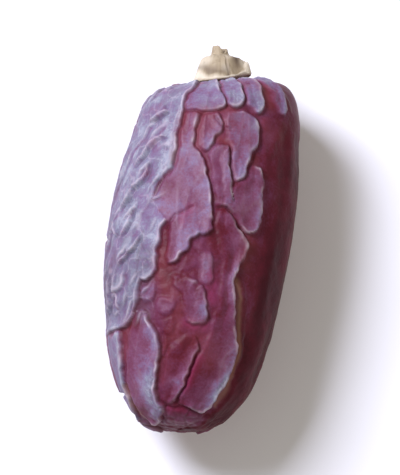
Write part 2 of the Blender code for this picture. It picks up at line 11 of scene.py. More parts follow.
import bpy
import numpy as np
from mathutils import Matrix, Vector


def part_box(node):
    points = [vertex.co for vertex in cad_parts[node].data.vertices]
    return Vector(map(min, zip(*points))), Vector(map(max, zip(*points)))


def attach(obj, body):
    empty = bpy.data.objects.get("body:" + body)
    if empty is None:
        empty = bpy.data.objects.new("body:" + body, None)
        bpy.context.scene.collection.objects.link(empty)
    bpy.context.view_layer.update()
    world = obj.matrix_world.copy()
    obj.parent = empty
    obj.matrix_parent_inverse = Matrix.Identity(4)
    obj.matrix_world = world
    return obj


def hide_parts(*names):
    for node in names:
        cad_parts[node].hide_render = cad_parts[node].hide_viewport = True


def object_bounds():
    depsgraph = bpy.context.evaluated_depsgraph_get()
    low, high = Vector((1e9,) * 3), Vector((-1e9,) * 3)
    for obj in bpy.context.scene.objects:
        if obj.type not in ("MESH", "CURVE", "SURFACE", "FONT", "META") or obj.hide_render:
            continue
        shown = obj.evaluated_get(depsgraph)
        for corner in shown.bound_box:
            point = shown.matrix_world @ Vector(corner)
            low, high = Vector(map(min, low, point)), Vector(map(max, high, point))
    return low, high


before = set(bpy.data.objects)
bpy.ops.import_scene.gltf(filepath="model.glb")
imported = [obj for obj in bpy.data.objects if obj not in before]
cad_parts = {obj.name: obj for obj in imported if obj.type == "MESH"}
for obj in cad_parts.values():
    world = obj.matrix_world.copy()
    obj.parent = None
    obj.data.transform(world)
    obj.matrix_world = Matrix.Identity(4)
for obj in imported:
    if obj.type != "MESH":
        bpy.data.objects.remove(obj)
CAD_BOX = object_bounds()
MM = 0.001
print("the frame holds", sorted(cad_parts), "in a box of", CAD_BOX)

# %% [markdown]
# The form comes first. A dried date is a blunt barrel that tapers towards its tip and bends
# a little. It could be sculpted, but the wrinkles need to know where they are on it. So its
# radius is a profile along the axis: two power curves that meet where it is widest. A
# place on the skin is given as (s, angle), with s in millimetres from the stalk end and the
# angle in degrees from the top, positive towards +X.

# %% The date's driving dimensions, in millimetres
BODY_LENGTH = 47.2
HALF_WIDTH = 12.2
HALF_THICKNESS = 11.3
WIDEST_AT = 18.0
STALK_END_POWER = 0.152
TIP_POWER = 0.355
WAIST, WAIST_AT, WAIST_LENGTH = 0.035, 8.5, 4.0
STALK_X, STALK_Y = 0.75, 21.1
FLAT_DEPTH = 0.45
AXIS_Z = HALF_THICKNESS - FLAT_DEPTH
CENTRE_STATIONS = [
    (0, -0.25), (8, 0.3), (18, -0.5), (28, -1.0), (36, -1.05), (41, -1.25), (47, -1.6)]
LONG_SKEW, LONG_SKEW_FADE = 0.09, 9.0
SHORT_SKEW, SHORT_SLANT, SHORT_FADE = 0.1, 0.19, 3.5
DISH_DEPTH, DISH_RADIUS = 0.45, 5.6
RELIEF_FROM_RADIUS = (4.3, 5.6)


def smoothstep(low, high, x):
    """0 below low, 1 above high, and an S-curve between them: 3t^2 - 2t^3."""
    t = np.clip((x - low) / (high - low), 0.0, 1.0)
    return t * t * (3.0 - 2.0 * t)


def bump_at(x, middle, width):
    """A bell curve of height 1: e to the minus square of the distance over the width."""
    return np.exp(-((x - middle) / width) ** 2)


def radius_share(s):
    """The profile's share of its widest: (1 - a^2) to a power, on either side of it."""
    a = np.clip((WIDEST_AT - s) / WIDEST_AT, 0.0, 1.0)
    b = np.clip((s - WIDEST_AT) / (BODY_LENGTH - WIDEST_AT), 0.0, 1.0)
    waist = WAIST * bump_at(s, WAIST_AT, WAIST_LENGTH)
    stalk = (1.0 - a ** 2) ** STALK_END_POWER * (1.0 - waist)
    tip = (1.0 - b ** 2) ** TIP_POWER
    return np.where(s < WIDEST_AT, stalk, tip)


def profile_table():
    """s, radius share and distance along the skin, close together where the profile turns."""
    t = np.linspace(0.0, 1.0, 4001)
    stalk = WIDEST_AT * t ** 16
    tip = BODY_LENGTH - (BODY_LENGTH - WIDEST_AT) * (1.0 - t) ** 5
    s = np.concatenate([stalk, tip[1:]])
    share = radius_share(s)
    share[0] = share[-1] = 0.0
    radius = share * (HALF_WIDTH + HALF_THICKNESS) / 2.0
    steps = np.hypot(np.diff(s), np.diff(radius))
    return s, share, np.concatenate([[0.0], np.cumsum(steps)])


TABLE_S, TABLE_SHARE, TABLE_ALONG = profile_table()
SKIN_LENGTH = TABLE_ALONG[-1]
CENTRE_LINE = np.polynomial.Polynomial.fit(*np.array(CENTRE_STATIONS, float).T, deg=5)


def smooth_form(along, angle):
    """The unwrinkled skin: an ellipse of the profile's size, swept down a bent centre line."""
    s = np.interp(along, TABLE_ALONG, TABLE_S)
    share = np.interp(along, TABLE_ALONG, TABLE_SHARE)
    x = share * HALF_WIDTH * np.sin(angle)
    z = share * HALF_THICKNESS * np.cos(angle)
    skew = LONG_SKEW * x * bump_at(s, 0.0, LONG_SKEW_FADE)
    skew = skew + (SHORT_SKEW * x - SHORT_SLANT * z) * bump_at(s, 0.0, SHORT_FADE)
    dish = DISH_DEPTH * np.clip(1.0 - (np.hypot(x, z) / DISH_RADIUS) ** 2, 0.0, 1.0) ** 2
    y = STALK_Y - s + skew - dish * (s < WIDEST_AT)
    return np.stack([STALK_X + x + CENTRE_LINE(s), y, z + AXIS_Z], axis=-1)


def outward(along, angle):
    """Unit normals of the smooth form: the cross product of two small differences."""
    step_along, step_angle = 0.05, 0.004
    inner = np.clip(along, 2 * step_along, SKIN_LENGTH - 2 * step_along)
    d_along = smooth_form(inner + step_along, angle) - smooth_form(inner - step_along, angle)
    d_angle = smooth_form(inner, angle + step_angle) - smooth_form(inner, angle - step_angle)
    normal = np.cross(d_along, d_angle)
    return normal / np.linalg.norm(normal, axis=-1, keepdims=True)


print("the skin runs", round(SKIN_LENGTH, 1), "mm from pole to pole")

# %% [markdown]
# As a date dries, its skin comes loose from the flesh and puckers. It makes flat raised
# plates with a curled rim, and sunken valleys between them. No noise pattern has those
# shapes, so the plates of the top face are outlines, and their height is a function of the
# distance to the outline. Each has a share of the full height, and a tone, which says how
# thick the pale wax lies on it, from 0 for bare maroon skin to 1 for a silvery coat.

# %% The plates of the top face
RIM_OF_CAP = 0.004
PLATES = {
    "stalk lobe 1": (1, 0.74, [
        (RIM_OF_CAP, -22), (1.2, -20), (2.4, -23.5), (3.8, -24.5), (5, -24), (5.6, -21.5),
        (5.6, -14), (5.8, -6), (5.5, -1), (4.8, 2), (3.6, 1), (2.2, -1.5), (RIM_OF_CAP, -3)]),
    "stalk lobe 2": (1, 0.8, [
        (RIM_OF_CAP, 1), (1.6, 2.2), (3.2, 3.8), (4.4, 5.8), (5, 8), (4.8, 10.8), (4.1, 14),
        (3, 15), (1.8, 15), (RIM_OF_CAP, 14.5)]),
    "stalk lobe 3": (0.95, 0.7, [
        (RIM_OF_CAP, 24), (2, 21.8), (3.5, 21), (4.8, 22.2), (5.5, 24.2), (5.4, 26.2),
        (4.7, 27.8), (3, 28.8), (1.5, 30), (RIM_OF_CAP, 31)]),
    "stalk lobe 4": (0.9, 0.72, [
        (RIM_OF_CAP, 50), (2, 45.5), (3.3, 43.8), (4.5, 45.3), (5, 47.3), (4.7, 49),
        (3.5, 49.5), (1.5, 51), (RIM_OF_CAP, 54)]),
    "left flank": (1, 0.8, [
        (RIM_OF_CAP, -30), (1.5, -24.5), (3, -27.5), (5, -28.5), (8, -29.5), (11, -28.5),
        (12.8, -27), (13.8, -26), (14.6, -28), (15.3, -31.5), (16.2, -34), (17.6, -34.5),
        (18.6, -37), (19.4, -38), (20.2, -35), (20.8, -30), (21.4, -27.8), (22.4, -28.5),
        (23.6, -27.5), (24.6, -27.3), (25.6, -28.5), (26.6, -28), (28, -28), (28.7, -31),
        (28.7, -36), (28.6, -38.5), (29.5, -40), (30.6, -41), (32, -42.5), (33, -45),
        (34, -48), (34.6, -52.5), (34.9, -60), (35.2, -75), (35.3, -98), (20, -98), (3, -98),
        (RIM_OF_CAP, -70)]),
    "centre band": (1, 0.54, [
        (6.5, -22.3), (6.5, -17.5), (8, -17.5), (10, -17.3), (11.4, -16), (12.6, -11),
        (13.5, -7.5), (14.9, -5), (16.2, -2), (17.5, -0.5), (18.8, 1), (20.2, 2.8),
        (21.8, 3.4), (22.8, 4.6), (22.9, 1.5), (22.7, -1.5), (23.1, -4.5), (23.5, -9),
        (25, -9), (25.5, -12.5), (26.6, -15), (26.8, -17.3), (25.8, -17.3), (24.6, -15.5),
        (23.2, -16.3), (22.4, -17.5), (21.6, -18.5), (20.9, -22), (20.2, -25.5), (19.6, -31),
        (18.4, -30.5), (16.8, -27.8), (15.4, -24.5), (14.4, -20.5), (13.2, -18.8),
        (11.5, -21.3), (9.5, -22.8), (8, -23.2)]),
    "small red plate": (0.8, 0.4, [
        (7, -11.3), (6.9, -4), (7.5, -1), (8.3, 1), (9, 0), (9.8, -2.3), (10.8, -3.3),
        (11.3, -6), (11.2, -9), (10, -11.3), (8.5, -12)]),
    "upper tongue": (0.95, 0.6, [
        (6.6, 8), (6.3, 13), (6.5, 18.5), (7.1, 22.5), (8, 24.8), (9, 25.2), (10, 24),
        (11, 22), (12, 20.8), (13.4, 20.3), (14.5, 19.9), (15.2, 18.4), (15.1, 16.3),
        (14.2, 14.8), (13, 13.3), (11.8, 12.2), (10.5, 11.5), (9.6, 11), (8.8, 10), (7.8, 6)]),
    "lower tongue": (1, 0.47, [
        (12, -2), (11.6, 3), (11.8, 8.3), (13.5, 9), (15, 10.5), (16.5, 11.8), (17.8, 15),
        (18.3, 18), (17.6, 19), (16.6, 17.8), (16.1, 20.5), (15.2, 23.8), (14.2, 26),
        (13.8, 29), (14.6, 31), (16, 32.3), (18, 33.3), (20, 34.3), (21.2, 34.3), (21.8, 31),
        (21.5, 28), (20.8, 24.3), (19.9, 20.5), (19.1, 17.5), (18.7, 14), (18.7, 10),
        (17.8, 7.8), (16.6, 6.3), (15, 3.8), (13.4, 1)]),
    "upper right plate": (0.45, 0.27, [
        (7, 34), (6.9, 42), (7.2, 50), (8.2, 50), (9, 45), (9.8, 41), (11, 41.5), (11.6, 37.5),
        (10, 34.5), (8.3, 33.5)]),
    "long ridge": (1, 0.34, [
        (19.9, 10.5), (19.9, 13), (20.7, 16.5), (21.8, 18.5), (22.4, 22.5), (23, 26),
        (24, 28.8), (24.9, 29.3), (25.8, 28.2), (26.8, 26.2), (27.8, 24.8), (28.8, 24.3),
        (30.2, 25.8), (31.6, 27), (33, 28.5), (34.5, 31), (36, 34.5), (37.5, 37), (39, 38.8),
        (41, 39.8), (42.5, 39), (43.6, 37), (44.6, 33.5), (45.2, 27), (45, 18), (44.8, 8),
        (44.5, 2), (43.7, 3.5), (42.6, 6.5), (41.2, 9.5), (39.8, 11), (38.4, 13), (37, 15),
        (35.4, 18), (33.5, 20), (31, 20), (29, 20.3), (27, 20), (25.2, 19.5), (23.8, 16.5),
        (22.8, 13.5), (21.6, 11.5)]),
    "rib beside the long ridge": (0.45, 0.22, [
        (28.5, 28.5), (31.5, 33), (34.5, 37.5), (37.5, 42.5), (41, 44.5), (44.5, 44.5),
        (44.3, 46), (41, 46.5), (37.5, 44.5), (34.5, 39.5), (31.5, 35), (28.5, 30)]),
    "middle plate 1": (0.6, 0.46, [
        (26.2, 4.8), (26.2, 7.6), (27.5, 8), (28.8, 7.6), (28.9, 5.6), (27.5, 4.8)]),
    "middle plate 2": (0.8, 0.42, [
        (29.3, -13), (29.2, -9), (29.6, -3), (30.1, 1), (30.1, 4.5), (31.5, 5.5), (33, 7.3),
        (33.8, 9.5), (34.3, 9), (34.6, 5), (34.5, 1.5), (33.6, -1.5), (32, -2.5), (30.9, -4.5),
        (30.1, -9)]),
    "middle bead 1": (0.62, 0.46, [
        (32.3, -22.5), (32, -18), (32.3, -14.8), (33, -14.8), (33.4, -18), (33.2, -22)]),
    "middle bead 2": (0.6, 0.5, [
        (30.6, -35), (30.4, -30), (30.7, -28.5), (31.6, -28.8), (31.8, -32), (31.5, -35.5)]),
    "middle bead 3": (0.5, 0.36, [
        (34.7, -17.5), (34.7, -14.5), (35.5, -13.8), (36, -15.5), (35.8, -18)]),
    "long lower plate": (1.05, 0.48, [
        (33.6, -36.5), (34.2, -33.5), (35, -31.5), (36, -29.5), (37.2, -26.3), (38.4, -24),
        (39.3, -23.8), (40.2, -25), (41.2, -27.5), (42.3, -29.5), (43.3, -30), (44.4, -29),
        (45.4, -27.5), (46.1, -27), (46.6, -31), (46.6, -52), (46, -58), (45, -60), (43, -58),
        (41, -55), (38.8, -51.5), (36.6, -47), (34.8, -42.5), (34, -40)]),
    "left strip": (0.9, 0.78, [
        (35.9, -63), (37, -62.5), (38.5, -63.5), (40, -66), (42, -70), (43.5, -73), (45, -77),
        (45.9, -83), (45.4, -100), (43, -108), (39, -104), (36.2, -98), (35.8, -82)]),
    "lower tongue of the tip": (0.8, 0.3, [
        (37, 2), (37.5, 6.5), (38.8, 4.8), (40, 2.3), (41.2, 0.3), (42.4, -1.7), (43.4, -4),
        (44.2, -8), (44.6, -12), (44.2, -16), (43, -17.5), (42, -17), (40.5, -15), (39, -12),
        (38, -8), (37.2, -4)]),
    "crumpled tip": (0.55, 0.42, [
        (45.9, -30), (45.8, 0), (45.8, 25), (46.1, 40), (46.9, 40), (46.9, -30)]),
}
print(len(PLATES), "plates")

# %% [markdown]
# Lines of (s, angle) points go with the plates. A crease is a sharp groove, and its number
# is its share of the full depth. A fold is where the skin has slipped over itself: a ridge
# on the side of the stalk, with a groove under it. A joining line closes the crease between
# two plates that have grown together. A pale rim is partly a pale dried edge of the skin
# and partly a painted highlight, and its number is its strength. Noise could place them
# all, but these are the ones that the eye follows.

# %% Creases, folds and rims
CREASES = [
    (0.35, [(11.6, 10.3), (13.4, 11), (15, 12.8), (16.5, 14), (17.6, 16.5), (18.1, 18)]),
    (0.3, [(7.3, -2.5), (8, 0.5), (8.5, 4), (8.8, 9.5)]),
    (0.2, [(9.4, 2), (10.2, 0.8), (10.9, -0.5)]),
    (0.3, [(19.6, -8.5), (20.3, -12.5), (21, -17), (21.8, -20.5), (22.6, -21.5)]),
    (0.25, [(5.2, 18.5), (6.4, 22), (7, 26.5), (8.2, 28.8), (9.6, 28), (11, 26), (12.5, 26)]),
    (0.35, [(19.3, 8.5), (19.2, 12.5), (20, 17), (20.9, 18.7), (21.6, 22), (22.1, 26),
           (22.5, 29.5)]),
    (0.2, [(34.9, -1), (35.2, 4), (34.8, 9), (34, 13)]),
    (0.3, [(38.8, 8.5), (39.8, 7), (41.2, 4.5), (42.8, 1.2), (44, -2.5), (44.8, -7)]),
    (0.2, [(36.5, -20), (38, -20), (39.5, -21), (41, -25), (42.5, -28.5), (44.4, -29.5)]),
    (0.2, [(38, -15), (39.5, -17), (41, -19.5), (42.5, -21)]),
    (0.3, [(45.3, -25), (45.5, -10), (45.3, 5), (45.5, 18), (45.8, 30)]),
    (0.2, [(35, 46), (38, 48.5), (41, 49.5), (43, 51)]),
    (0.25, [(22.9, -38.5), (23.8, -38.2), (24.8, -38), (25.5, -36)]),
    (0.35, [(25.5, -38.5), (26.3, -40.3), (27.5, -41), (28.8, -40.8)]),
    (0.2, [(25.7, -36), (25.9, -32), (26.3, -29)]),
    (0.2, [(26.8, -38.5), (27.1, -34), (26.9, -30)]),
    (0.15, [(27.8, -38), (28, -34), (27.9, -31)]),
    (0.15, [(29.4, -37), (29.6, -33), (29.4, -28)]),
    (0.2, [(24.3, -6), (25.3, -2), (26, 3)]),
]
FOLDS = [
    [(5.9, -38), (6.3, -43), (6.9, -48.5), (7.3, -53)],
    [(9.8, -32), (9.9, -38), (10.3, -42.5), (10.9, -45), (11.6, -48), (12.2, -51),
     (13.2, -55.5), (13.9, -59)],
    [(13.2, -42), (14.6, -42), (15.5, -43), (16.2, -46), (16.8, -50), (17.3, -53)],
    [(17, -52), (18.2, -54), (19, -57.5), (19.6, -61)],
    [(19.6, -46.5), (20.6, -48.5), (21.6, -51), (22.4, -54), (23.3, -58.5)],
    [(23.2, -62), (22, -67), (20.5, -70)],
    [(23.3, -40.5), (24.2, -41), (25, -43.5), (25.6, -47), (26, -51.5), (26.6, -57),
     (27.5, -61)],
    [(33, -60), (30.5, -63), (28, -64)],
    [(28, -73), (31, -73.5), (33.3, -75)],
]
JOINED = [
    [(20, -34), (20.4, -27), (20.9, -23.5)],
]
PALE_RIMS_AND_HIGHLIGHTS = [
    (0.8, [(5.5, -29.5), (8, -31), (11, -30), (13.2, -27.5), (14.2, -27.5), (15, -30.8),
           (15.8, -33.8), (16.8, -35.5), (17.8, -35.3), (18.8, -38)]),
    (0.6, [(22.3, -28.3), (23.6, -27), (24.7, -26.8)]),
    (0.8, [(28.4, -37.5), (29.5, -38.5), (30.8, -39.5), (32.2, -41), (33.3, -43.5), (34.4, -47),
           (35, -52), (35.3, -58)]),
    (0.7, [(36.5, -60.5), (38.5, -61.5), (40, -64), (42, -67.5), (44, -70.5), (45.4, -74)]),
    (0.7, [(23.2, 27.5), (24.2, 30), (25, 30.3), (25.9, 29.3), (26.8, 27.5), (27.8, 26),
           (28.8, 25.5), (30.2, 27), (31.6, 28.5)]),
    (0.8, [(36.5, 37), (38, 39), (39.5, 40.5), (41, 41), (42.5, 40.5), (43.6, 38.5), (44.6, 35)]),
    (0.8, [(34.2, -31.5), (35.2, -29.5), (36.2, -27.3), (37.4, -24), (38.5, -22), (39.3, -21.8),
           (40.3, -23), (41.3, -25.3), (42.4, -27), (43.4, -27.3), (44.6, -26), (45.8, -24)]),
    (0.5, [(17, 32.5), (18.5, 34), (20, 35), (21.3, 34.5)]),
    (0.5, [(18.9, 10), (18.9, 13.5), (19.6, 17.5)]),
    (0.6, [(38.8, 5.8), (40, 3.8), (41.2, 1.5), (42.4, -0.5), (43.4, -3), (44.4, -7.5)]),
    (0.5, [(46.6, -20), (46.7, 10), (46.6, 40)]),
    (0.7, [(0.6, 42), (0.9, 50), (1.6, 56), (3, 60), (5, 62)]),
]
print(len(CREASES), "creases and", len(FOLDS), "folds")

# %% [markdown]
# The same kind of line carries the colours that no plate has as a whole. Each has its reach
# in millimetres, its strength, and its points. A tan streak follows a rib or an edge, a
# warm patch is bare red-brown skin in a valley, and a blush is thin crimson skin beside a
# crease. A wax patch makes the coat thicker, or thinner where its strength is below 0. One
# noise over the whole skin would be simpler, but these patches follow how the plates lie.

# %% Streaks and patches
STREAKS = {
    "tan": [
        (0.35, 1.0, [(28.8, 29), (31.5, 32.5), (34.5, 36.5), (37.5, 43), (41, 45), (44.5, 45)]),
        (0.35, 1.0, [(42.5, -66), (44.5, -70), (46, -66)]),
    ],
    "warm": [
        (0.9, 0.9, [(1.5, 37), (3, 36.5), (4.6, 36.5)]),
        (1.1, 0.8, [(6.2, -12), (7, -13.5), (8.5, -14.5), (10, -14), (11.4, -12)]),
        (2.2, 0.6, [(7, -7), (8.2, 0), (7.2, 6)]),
        (1.8, 0.35, [(7.5, 14), (8.5, 19), (10, 20)]),
        (0.9, 0.8, [(6.2, -3), (6.1, 4), (6, 9)]),
        (0.8, 0.7, [(9.8, 1), (10.3, 6), (11, 9)]),
        (0.7, 0.6, [(11.6, -12.5), (12.6, -9), (13.8, -5.5), (15.2, -3)]),
        (0.8, 0.7, [(6.8, -24.8), (8, -25.8), (10, -25.8), (12, -24.6), (13.4, -22.6)]),
        (1.5, 0.5, [(7.8, 30), (9, 38), (8.4, 46)]),
        (0.7, 0.6, [(12, 26.5), (13.2, 28)]),
        (1.1, 0.7, [(22.6, 30), (24.5, 33.5), (26, 32)]),
        (1.2, 0.6, [(26, -22), (28, -23), (29.5, -21), (30.6, -17), (31.3, -15)]),
        (1.1, 0.6, [(33.6, -8), (35, -9.5), (36.5, -10)]),
        (1.0, 0.4, [(38, -18), (40, -19), (42, -20)]),
        (1.0, 0.5, [(34.6, -48), (36.5, -54), (39, -60)]),
        (1.6, 0.5, [(35.5, 4), (37, 12), (39, 18)]),
    ],
    "blush": [
        (0.7, 1.0, [(19.9, -9), (20.8, -11.5), (21.6, -11)]),
        (0.7, 1.0, [(28.6, 9), (30, 12), (31.5, 12.5)]),
        (0.7, 1.0, [(35, -2), (35.3, 4), (35, 10)]),
        (0.7, 1.0, [(39, 10), (41, 7), (43, 2)]),
        (0.7, 1.0, [(45.4, -15), (45.4, 5)]),
    ],
}
WAX_PATCHES = [
    (1.2, 0.14, [(35, -34), (38, -31), (41, -35), (44, -38), (45.8, -38)]),
    (1.0, 0.1, [(23, 22), (26, 23.5), (29, 22.5), (31, 24)]),
    (1.2, 0.12, [(37, 31), (40, 33), (42.5, 32), (44.5, 27)]),
    (0.9, 0.22, [(42, -10), (43.2, -4), (43.4, 0)]),
    (0.9, 0.3, [(41.5, 38), (43, 39), (44.4, 38)]),
    (0.9, 0.22, [(42, -31), (43.5, -30), (45, -30)]),
    (0.8, 0.2, [(32.8, 9), (34, 10), (35.6, 9)]),
    (1.5, 0.1, [(8.5, 20), (11, 19), (13.5, 18)]),
    (1.5, 0.24, [(8, 1), (9.4, 0), (10.6, -3)]),
    (1.4, 0.14, [(6.5, 31), (8, 36), (9.5, 33)]),
    (1.4, 0.36, [(8, -16), (10.5, -17), (13, -27), (14.6, -30)]),
    (1.6, -0.06, [(11.5, -20), (14.5, -20), (15.5, -11), (15, -2)]),
    (1.2, -0.06, [(8.8, 10), (11, 10), (13, 9)]),
    (1.3, -0.08, [(19, -30), (20.5, -29), (20.3, -12)]),
    (1.3, -0.14, [(23, -22), (25, -20)]),
    # Painted shade: this patch darkens the tone under a fold on the left flank.
    (1.2, -0.2, [(11.6, -40), (13, -39), (15, -40)]),
    (1.1, -0.18, [(33.4, -40), (35, -41)]),
    (0.9, 0.12, [(28.5, 6.5), (27, 6)]),
    (1.5, -0.1, [(7.5, -20), (10, -20)]),
    (1.3, -0.15, [(16.5, -24), (15.5, -26)]),
]
print(sum(map(len, STREAKS.values())) + len(WAX_PATCHES), "streaks and patches")

# %% [markdown]
# Distances are measured on a flat chart of the skin: how far along it, and how far round
# it. A picture painted on the skin could hold them, but its grain would show close up. So
# every vertex is compared with one segment of a line at a time, as whole arrays.

# %% Distances on the chart


def rounded(loop):
    """The outline with its corners cut: two points on each edge, a quarter in from its ends."""
    after = np.roll(loop, -1, axis=0)
    cut = np.stack([0.75 * loop + 0.25 * after, 0.25 * loop + 0.75 * after], axis=1)
    return cut.reshape(-1, 2)


def on_chart(places):
    """Flat chart coordinates in millimetres: along the skin, and the angle times the radius."""
    s, degrees = np.array(places, float).T
    along = np.interp(s, TABLE_S, TABLE_ALONG)
    share = np.interp(along, TABLE_ALONG, TABLE_SHARE)
    return np.stack([along, np.radians(degrees) * share * HALF_WIDTH], axis=-1)


def nearest_on_line(chart, line):
    """Distance to a line, positive right of it, the share of the way along it, and the offset."""
    best = np.full(len(chart), 1e9)
    side = np.ones(len(chart))
    way = np.zeros(len(chart))
    offset = np.zeros((len(chart), 2))
    for part, (start, end) in enumerate(zip(line[:-1], line[1:])):
        run = end - start
        away = chart - start
        t = np.clip(away @ run / (run @ run), 0.0, 1.0)
        gap = away - t[:, None] * run
        distance = np.hypot(*gap.T)
        closer = distance < best
        best = np.where(closer, distance, best)
        offset = np.where(closer[:, None], gap, offset)
        way = np.where(closer, (part + t) / (len(line) - 1), way)
        side = np.where(closer, np.sign(run[0] * away[:, 1] - run[1] * away[:, 0]), side)
    return best * side, way, offset


def distance_to(chart, line):
    """Distance to a line of (s, angle) points, positive right of it."""
    return nearest_on_line(chart, on_chart(line))[0]


def inside_distance(chart, outline):
    """Distance to a closed outline, positive inside, and the unit direction that leaves it."""
    loop = np.vstack([outline, outline[:1]])
    best, _, offset = nearest_on_line(chart, loop)
    best = np.abs(best)
    inside = np.zeros(len(chart), bool)
    for start, end in zip(loop[:-1], loop[1:]):
        spans = (start[0] > chart[:, 0]) != (end[0] > chart[:, 0])
        rise = end[0] - start[0] if end[0] != start[0] else 1e-9
        cross = start[1] + (chart[:, 0] - start[0]) / rise * (end[1] - start[1])
        inside ^= spans & (chart[:, 1] < cross)
    sign = np.where(inside, 1.0, -1.0)
    return best * sign, -offset * (sign / np.maximum(best, 1e-9))[:, None]


one_degree = on_chart([(WIDEST_AT, 1)])[0, 1]
print("at its widest, a degree round the date is", one_degree.round(2), "mm")

# %% [markdown]
# Three random fields break up what is too regular. Noise is smooth, and is used to bend
# outlines and mottle colours. Ridged noise has sharp crests, as thin wrinkles have. Cells
# are blunt lumps with creases between them, as flesh has where the skin sank onto it.

# %% Random fields


def make_noise(seed, size=24):
    """A smooth random field: a seeded lattice, blended between its eight nearest values."""
    lattice = np.random.default_rng(seed).random((size, size, size))

    def field(points, scale):
        q = points / scale
        cell = np.floor(q).astype(int)
        f = q - cell
        f = f * f * (3.0 - 2.0 * f)
        total = 0.0
        for corner in np.ndindex(2, 2, 2):
            share = np.where(corner, f, 1.0 - f).prod(axis=-1)
            i, j, k = ((cell + corner) % size).T
            total = total + share * lattice[i, j, k]
        return 2.0 * total - 1.0

    return field


noise = make_noise(3)
fine_noise = make_noise(19)


def ridged(points, scale):
    """Sharp-crested wrinkles: 1 on the lines where a noise field is 0, falling away fast."""
    return 1.0 - np.clip(np.abs(fine_noise(points, scale)) * 3.0, 0.0, 1.0)


def lumps(points, scale, size=24):
    """Cells round one random point in each cube of a lattice: 1 in the middle, 0 in creases."""
    jitter = np.random.default_rng(29).random((size, size, size, 3))
    q = points / scale
    home = np.floor(q).astype(int)
    nearest = np.full(len(points), 9.0)
    second = np.full(len(points), 9.0)
    for step in np.ndindex(3, 3, 3):
        cell = home + np.array(step) - 1
        i, j, k = (cell % size).T
        distance = np.linalg.norm(q - cell - jitter[i, j, k], axis=-1)
        second = np.where(distance < nearest, nearest, np.minimum(second, distance))
        nearest = np.minimum(nearest, distance)
    return smoothstep(0.0, 0.45, second - nearest)


print("noise from -1 to 1, for example", fine_noise(np.array([[1.0, 2.0, 3.0]]), 1.7).round(2))

# %% [markdown]
# The plates grow until they meet, so that a narrow gap becomes one crease and only the wide
# gaps stay valleys. Drawing each crease as a line would do it too, but then the plates'
# heights would not end there. Each vertex goes to the plate that reaches furthest over it,
# and the crease lies where two plates reach equally far.

# %% Which plate each vertex is on
PLATE_GROWTH = 0.7
STEEP_SIDE = np.array([0.45, 0.89])


def nearest_plate(chart):
    """Each vertex's plate: distances to its edge and crease, height, tone, and way out."""
    first = np.full(len(chart), -1e9)
    second = np.full(len(chart), -1e9)
    tall, tone, facing = np.zeros((3, len(chart)))
    for tall_here, tone_here, outline in PLATES.values():
        distance, way_out = inside_distance(chart, rounded(on_chart(outline)))
        grown = distance + PLATE_GROWTH
        wins = grown > first
        second = np.where(wins, first, np.maximum(second, grown))
        first = np.where(wins, grown, first)
        tall = np.where(wins, tall_here, tall)
        tone = np.where(wins, tone_here, tone)
        facing = np.where(wins, way_out @ STEEP_SIDE, facing)
    return first, (first - second) / 2.0, tall, tone, facing


HEALED_WIDTH, HEALED_CREASE = 0.9, 1.5
JOINED_TONE, JOINED_TONE_GAIN, JOINED_TONE_REACH = 0.58, 0.22, 2.2


def healed(chart, outline, crease, tone):
    """Close the crease along each joining line, and blend the two tones across it."""
    for line in JOINED:
        past = distance_to(chart, line)
        closed = bump_at(past, 0.0, HEALED_WIDTH)
        outline, crease = outline + closed, crease + HEALED_CREASE * closed
        gain = smoothstep(-JOINED_TONE_REACH, JOINED_TONE_REACH, past)
        between = JOINED_TONE + JOINED_TONE_GAIN * gain
        tone = tone + (between - tone) * bump_at(past, 0.0, 2.0 * HEALED_WIDTH)
    return outline, crease, tone


print("10 mm down the left flank is", nearest_plate(on_chart([(10, -50)]))[0].round(2),
      "mm inside the grown plate")

# %% [markdown]
# Most plates have slipped over their neighbour on the right and below: there the edge is
# steep, with a curled rim, and on the other side it is soft. While the distances are at
# hand, the tone is worked out too, with a pale rim that is partly painted highlight and
# painted shade at each plate's foot. They go on the mesh as attributes, because a pattern
# in the material would not know where the edges are.

# %% The relief of the plates
PLATE_HEIGHT, VALLEY_DEPTH, SAG = 0.4, 0.2, 0.3
SOFT_EDGE, STEEP_EDGE, STEEP_TURN = 0.6, 0.34, 0.6
EDGE_START, CREASE_FLOOR = -0.5, 0.4
LIP_HEIGHT, LIP_IN, LIP_WIDTH = 0.06, 0.28, 0.18
CURL_HEIGHT, CURL_IN, CURL_WIDTH, CURL_MEAN = 0.24, 0.2, 1.1, 0.3
PALE_IN, PALE_WIDTH, FOOT_WIDTH = 0.36, 0.17, 0.12
VALLEY_TONE = 0.24
LUMP_SIZE, LUMP_HEIGHT = 1.9, 0.1
LUMPS_FROM, LUMPS_MIDDLE, LUMPS_REACH = (24.0, 30.0), -4.0, (9.0, 13.0)


def valley_lumps(chart, form):
    """The sunken flesh of the middle valley: blunt cells, a little longer than wide."""
    across = np.abs(chart[:, 1] - LUMPS_MIDDLE)
    share = smoothstep(*LUMPS_FROM, chart[:, 0]) * (1.0 - smoothstep(*LUMPS_REACH, across))
    return share * (LUMP_HEIGHT * lumps(form * np.array([1.0, 0.7, 1.0]), LUMP_SIZE) - 0.03)


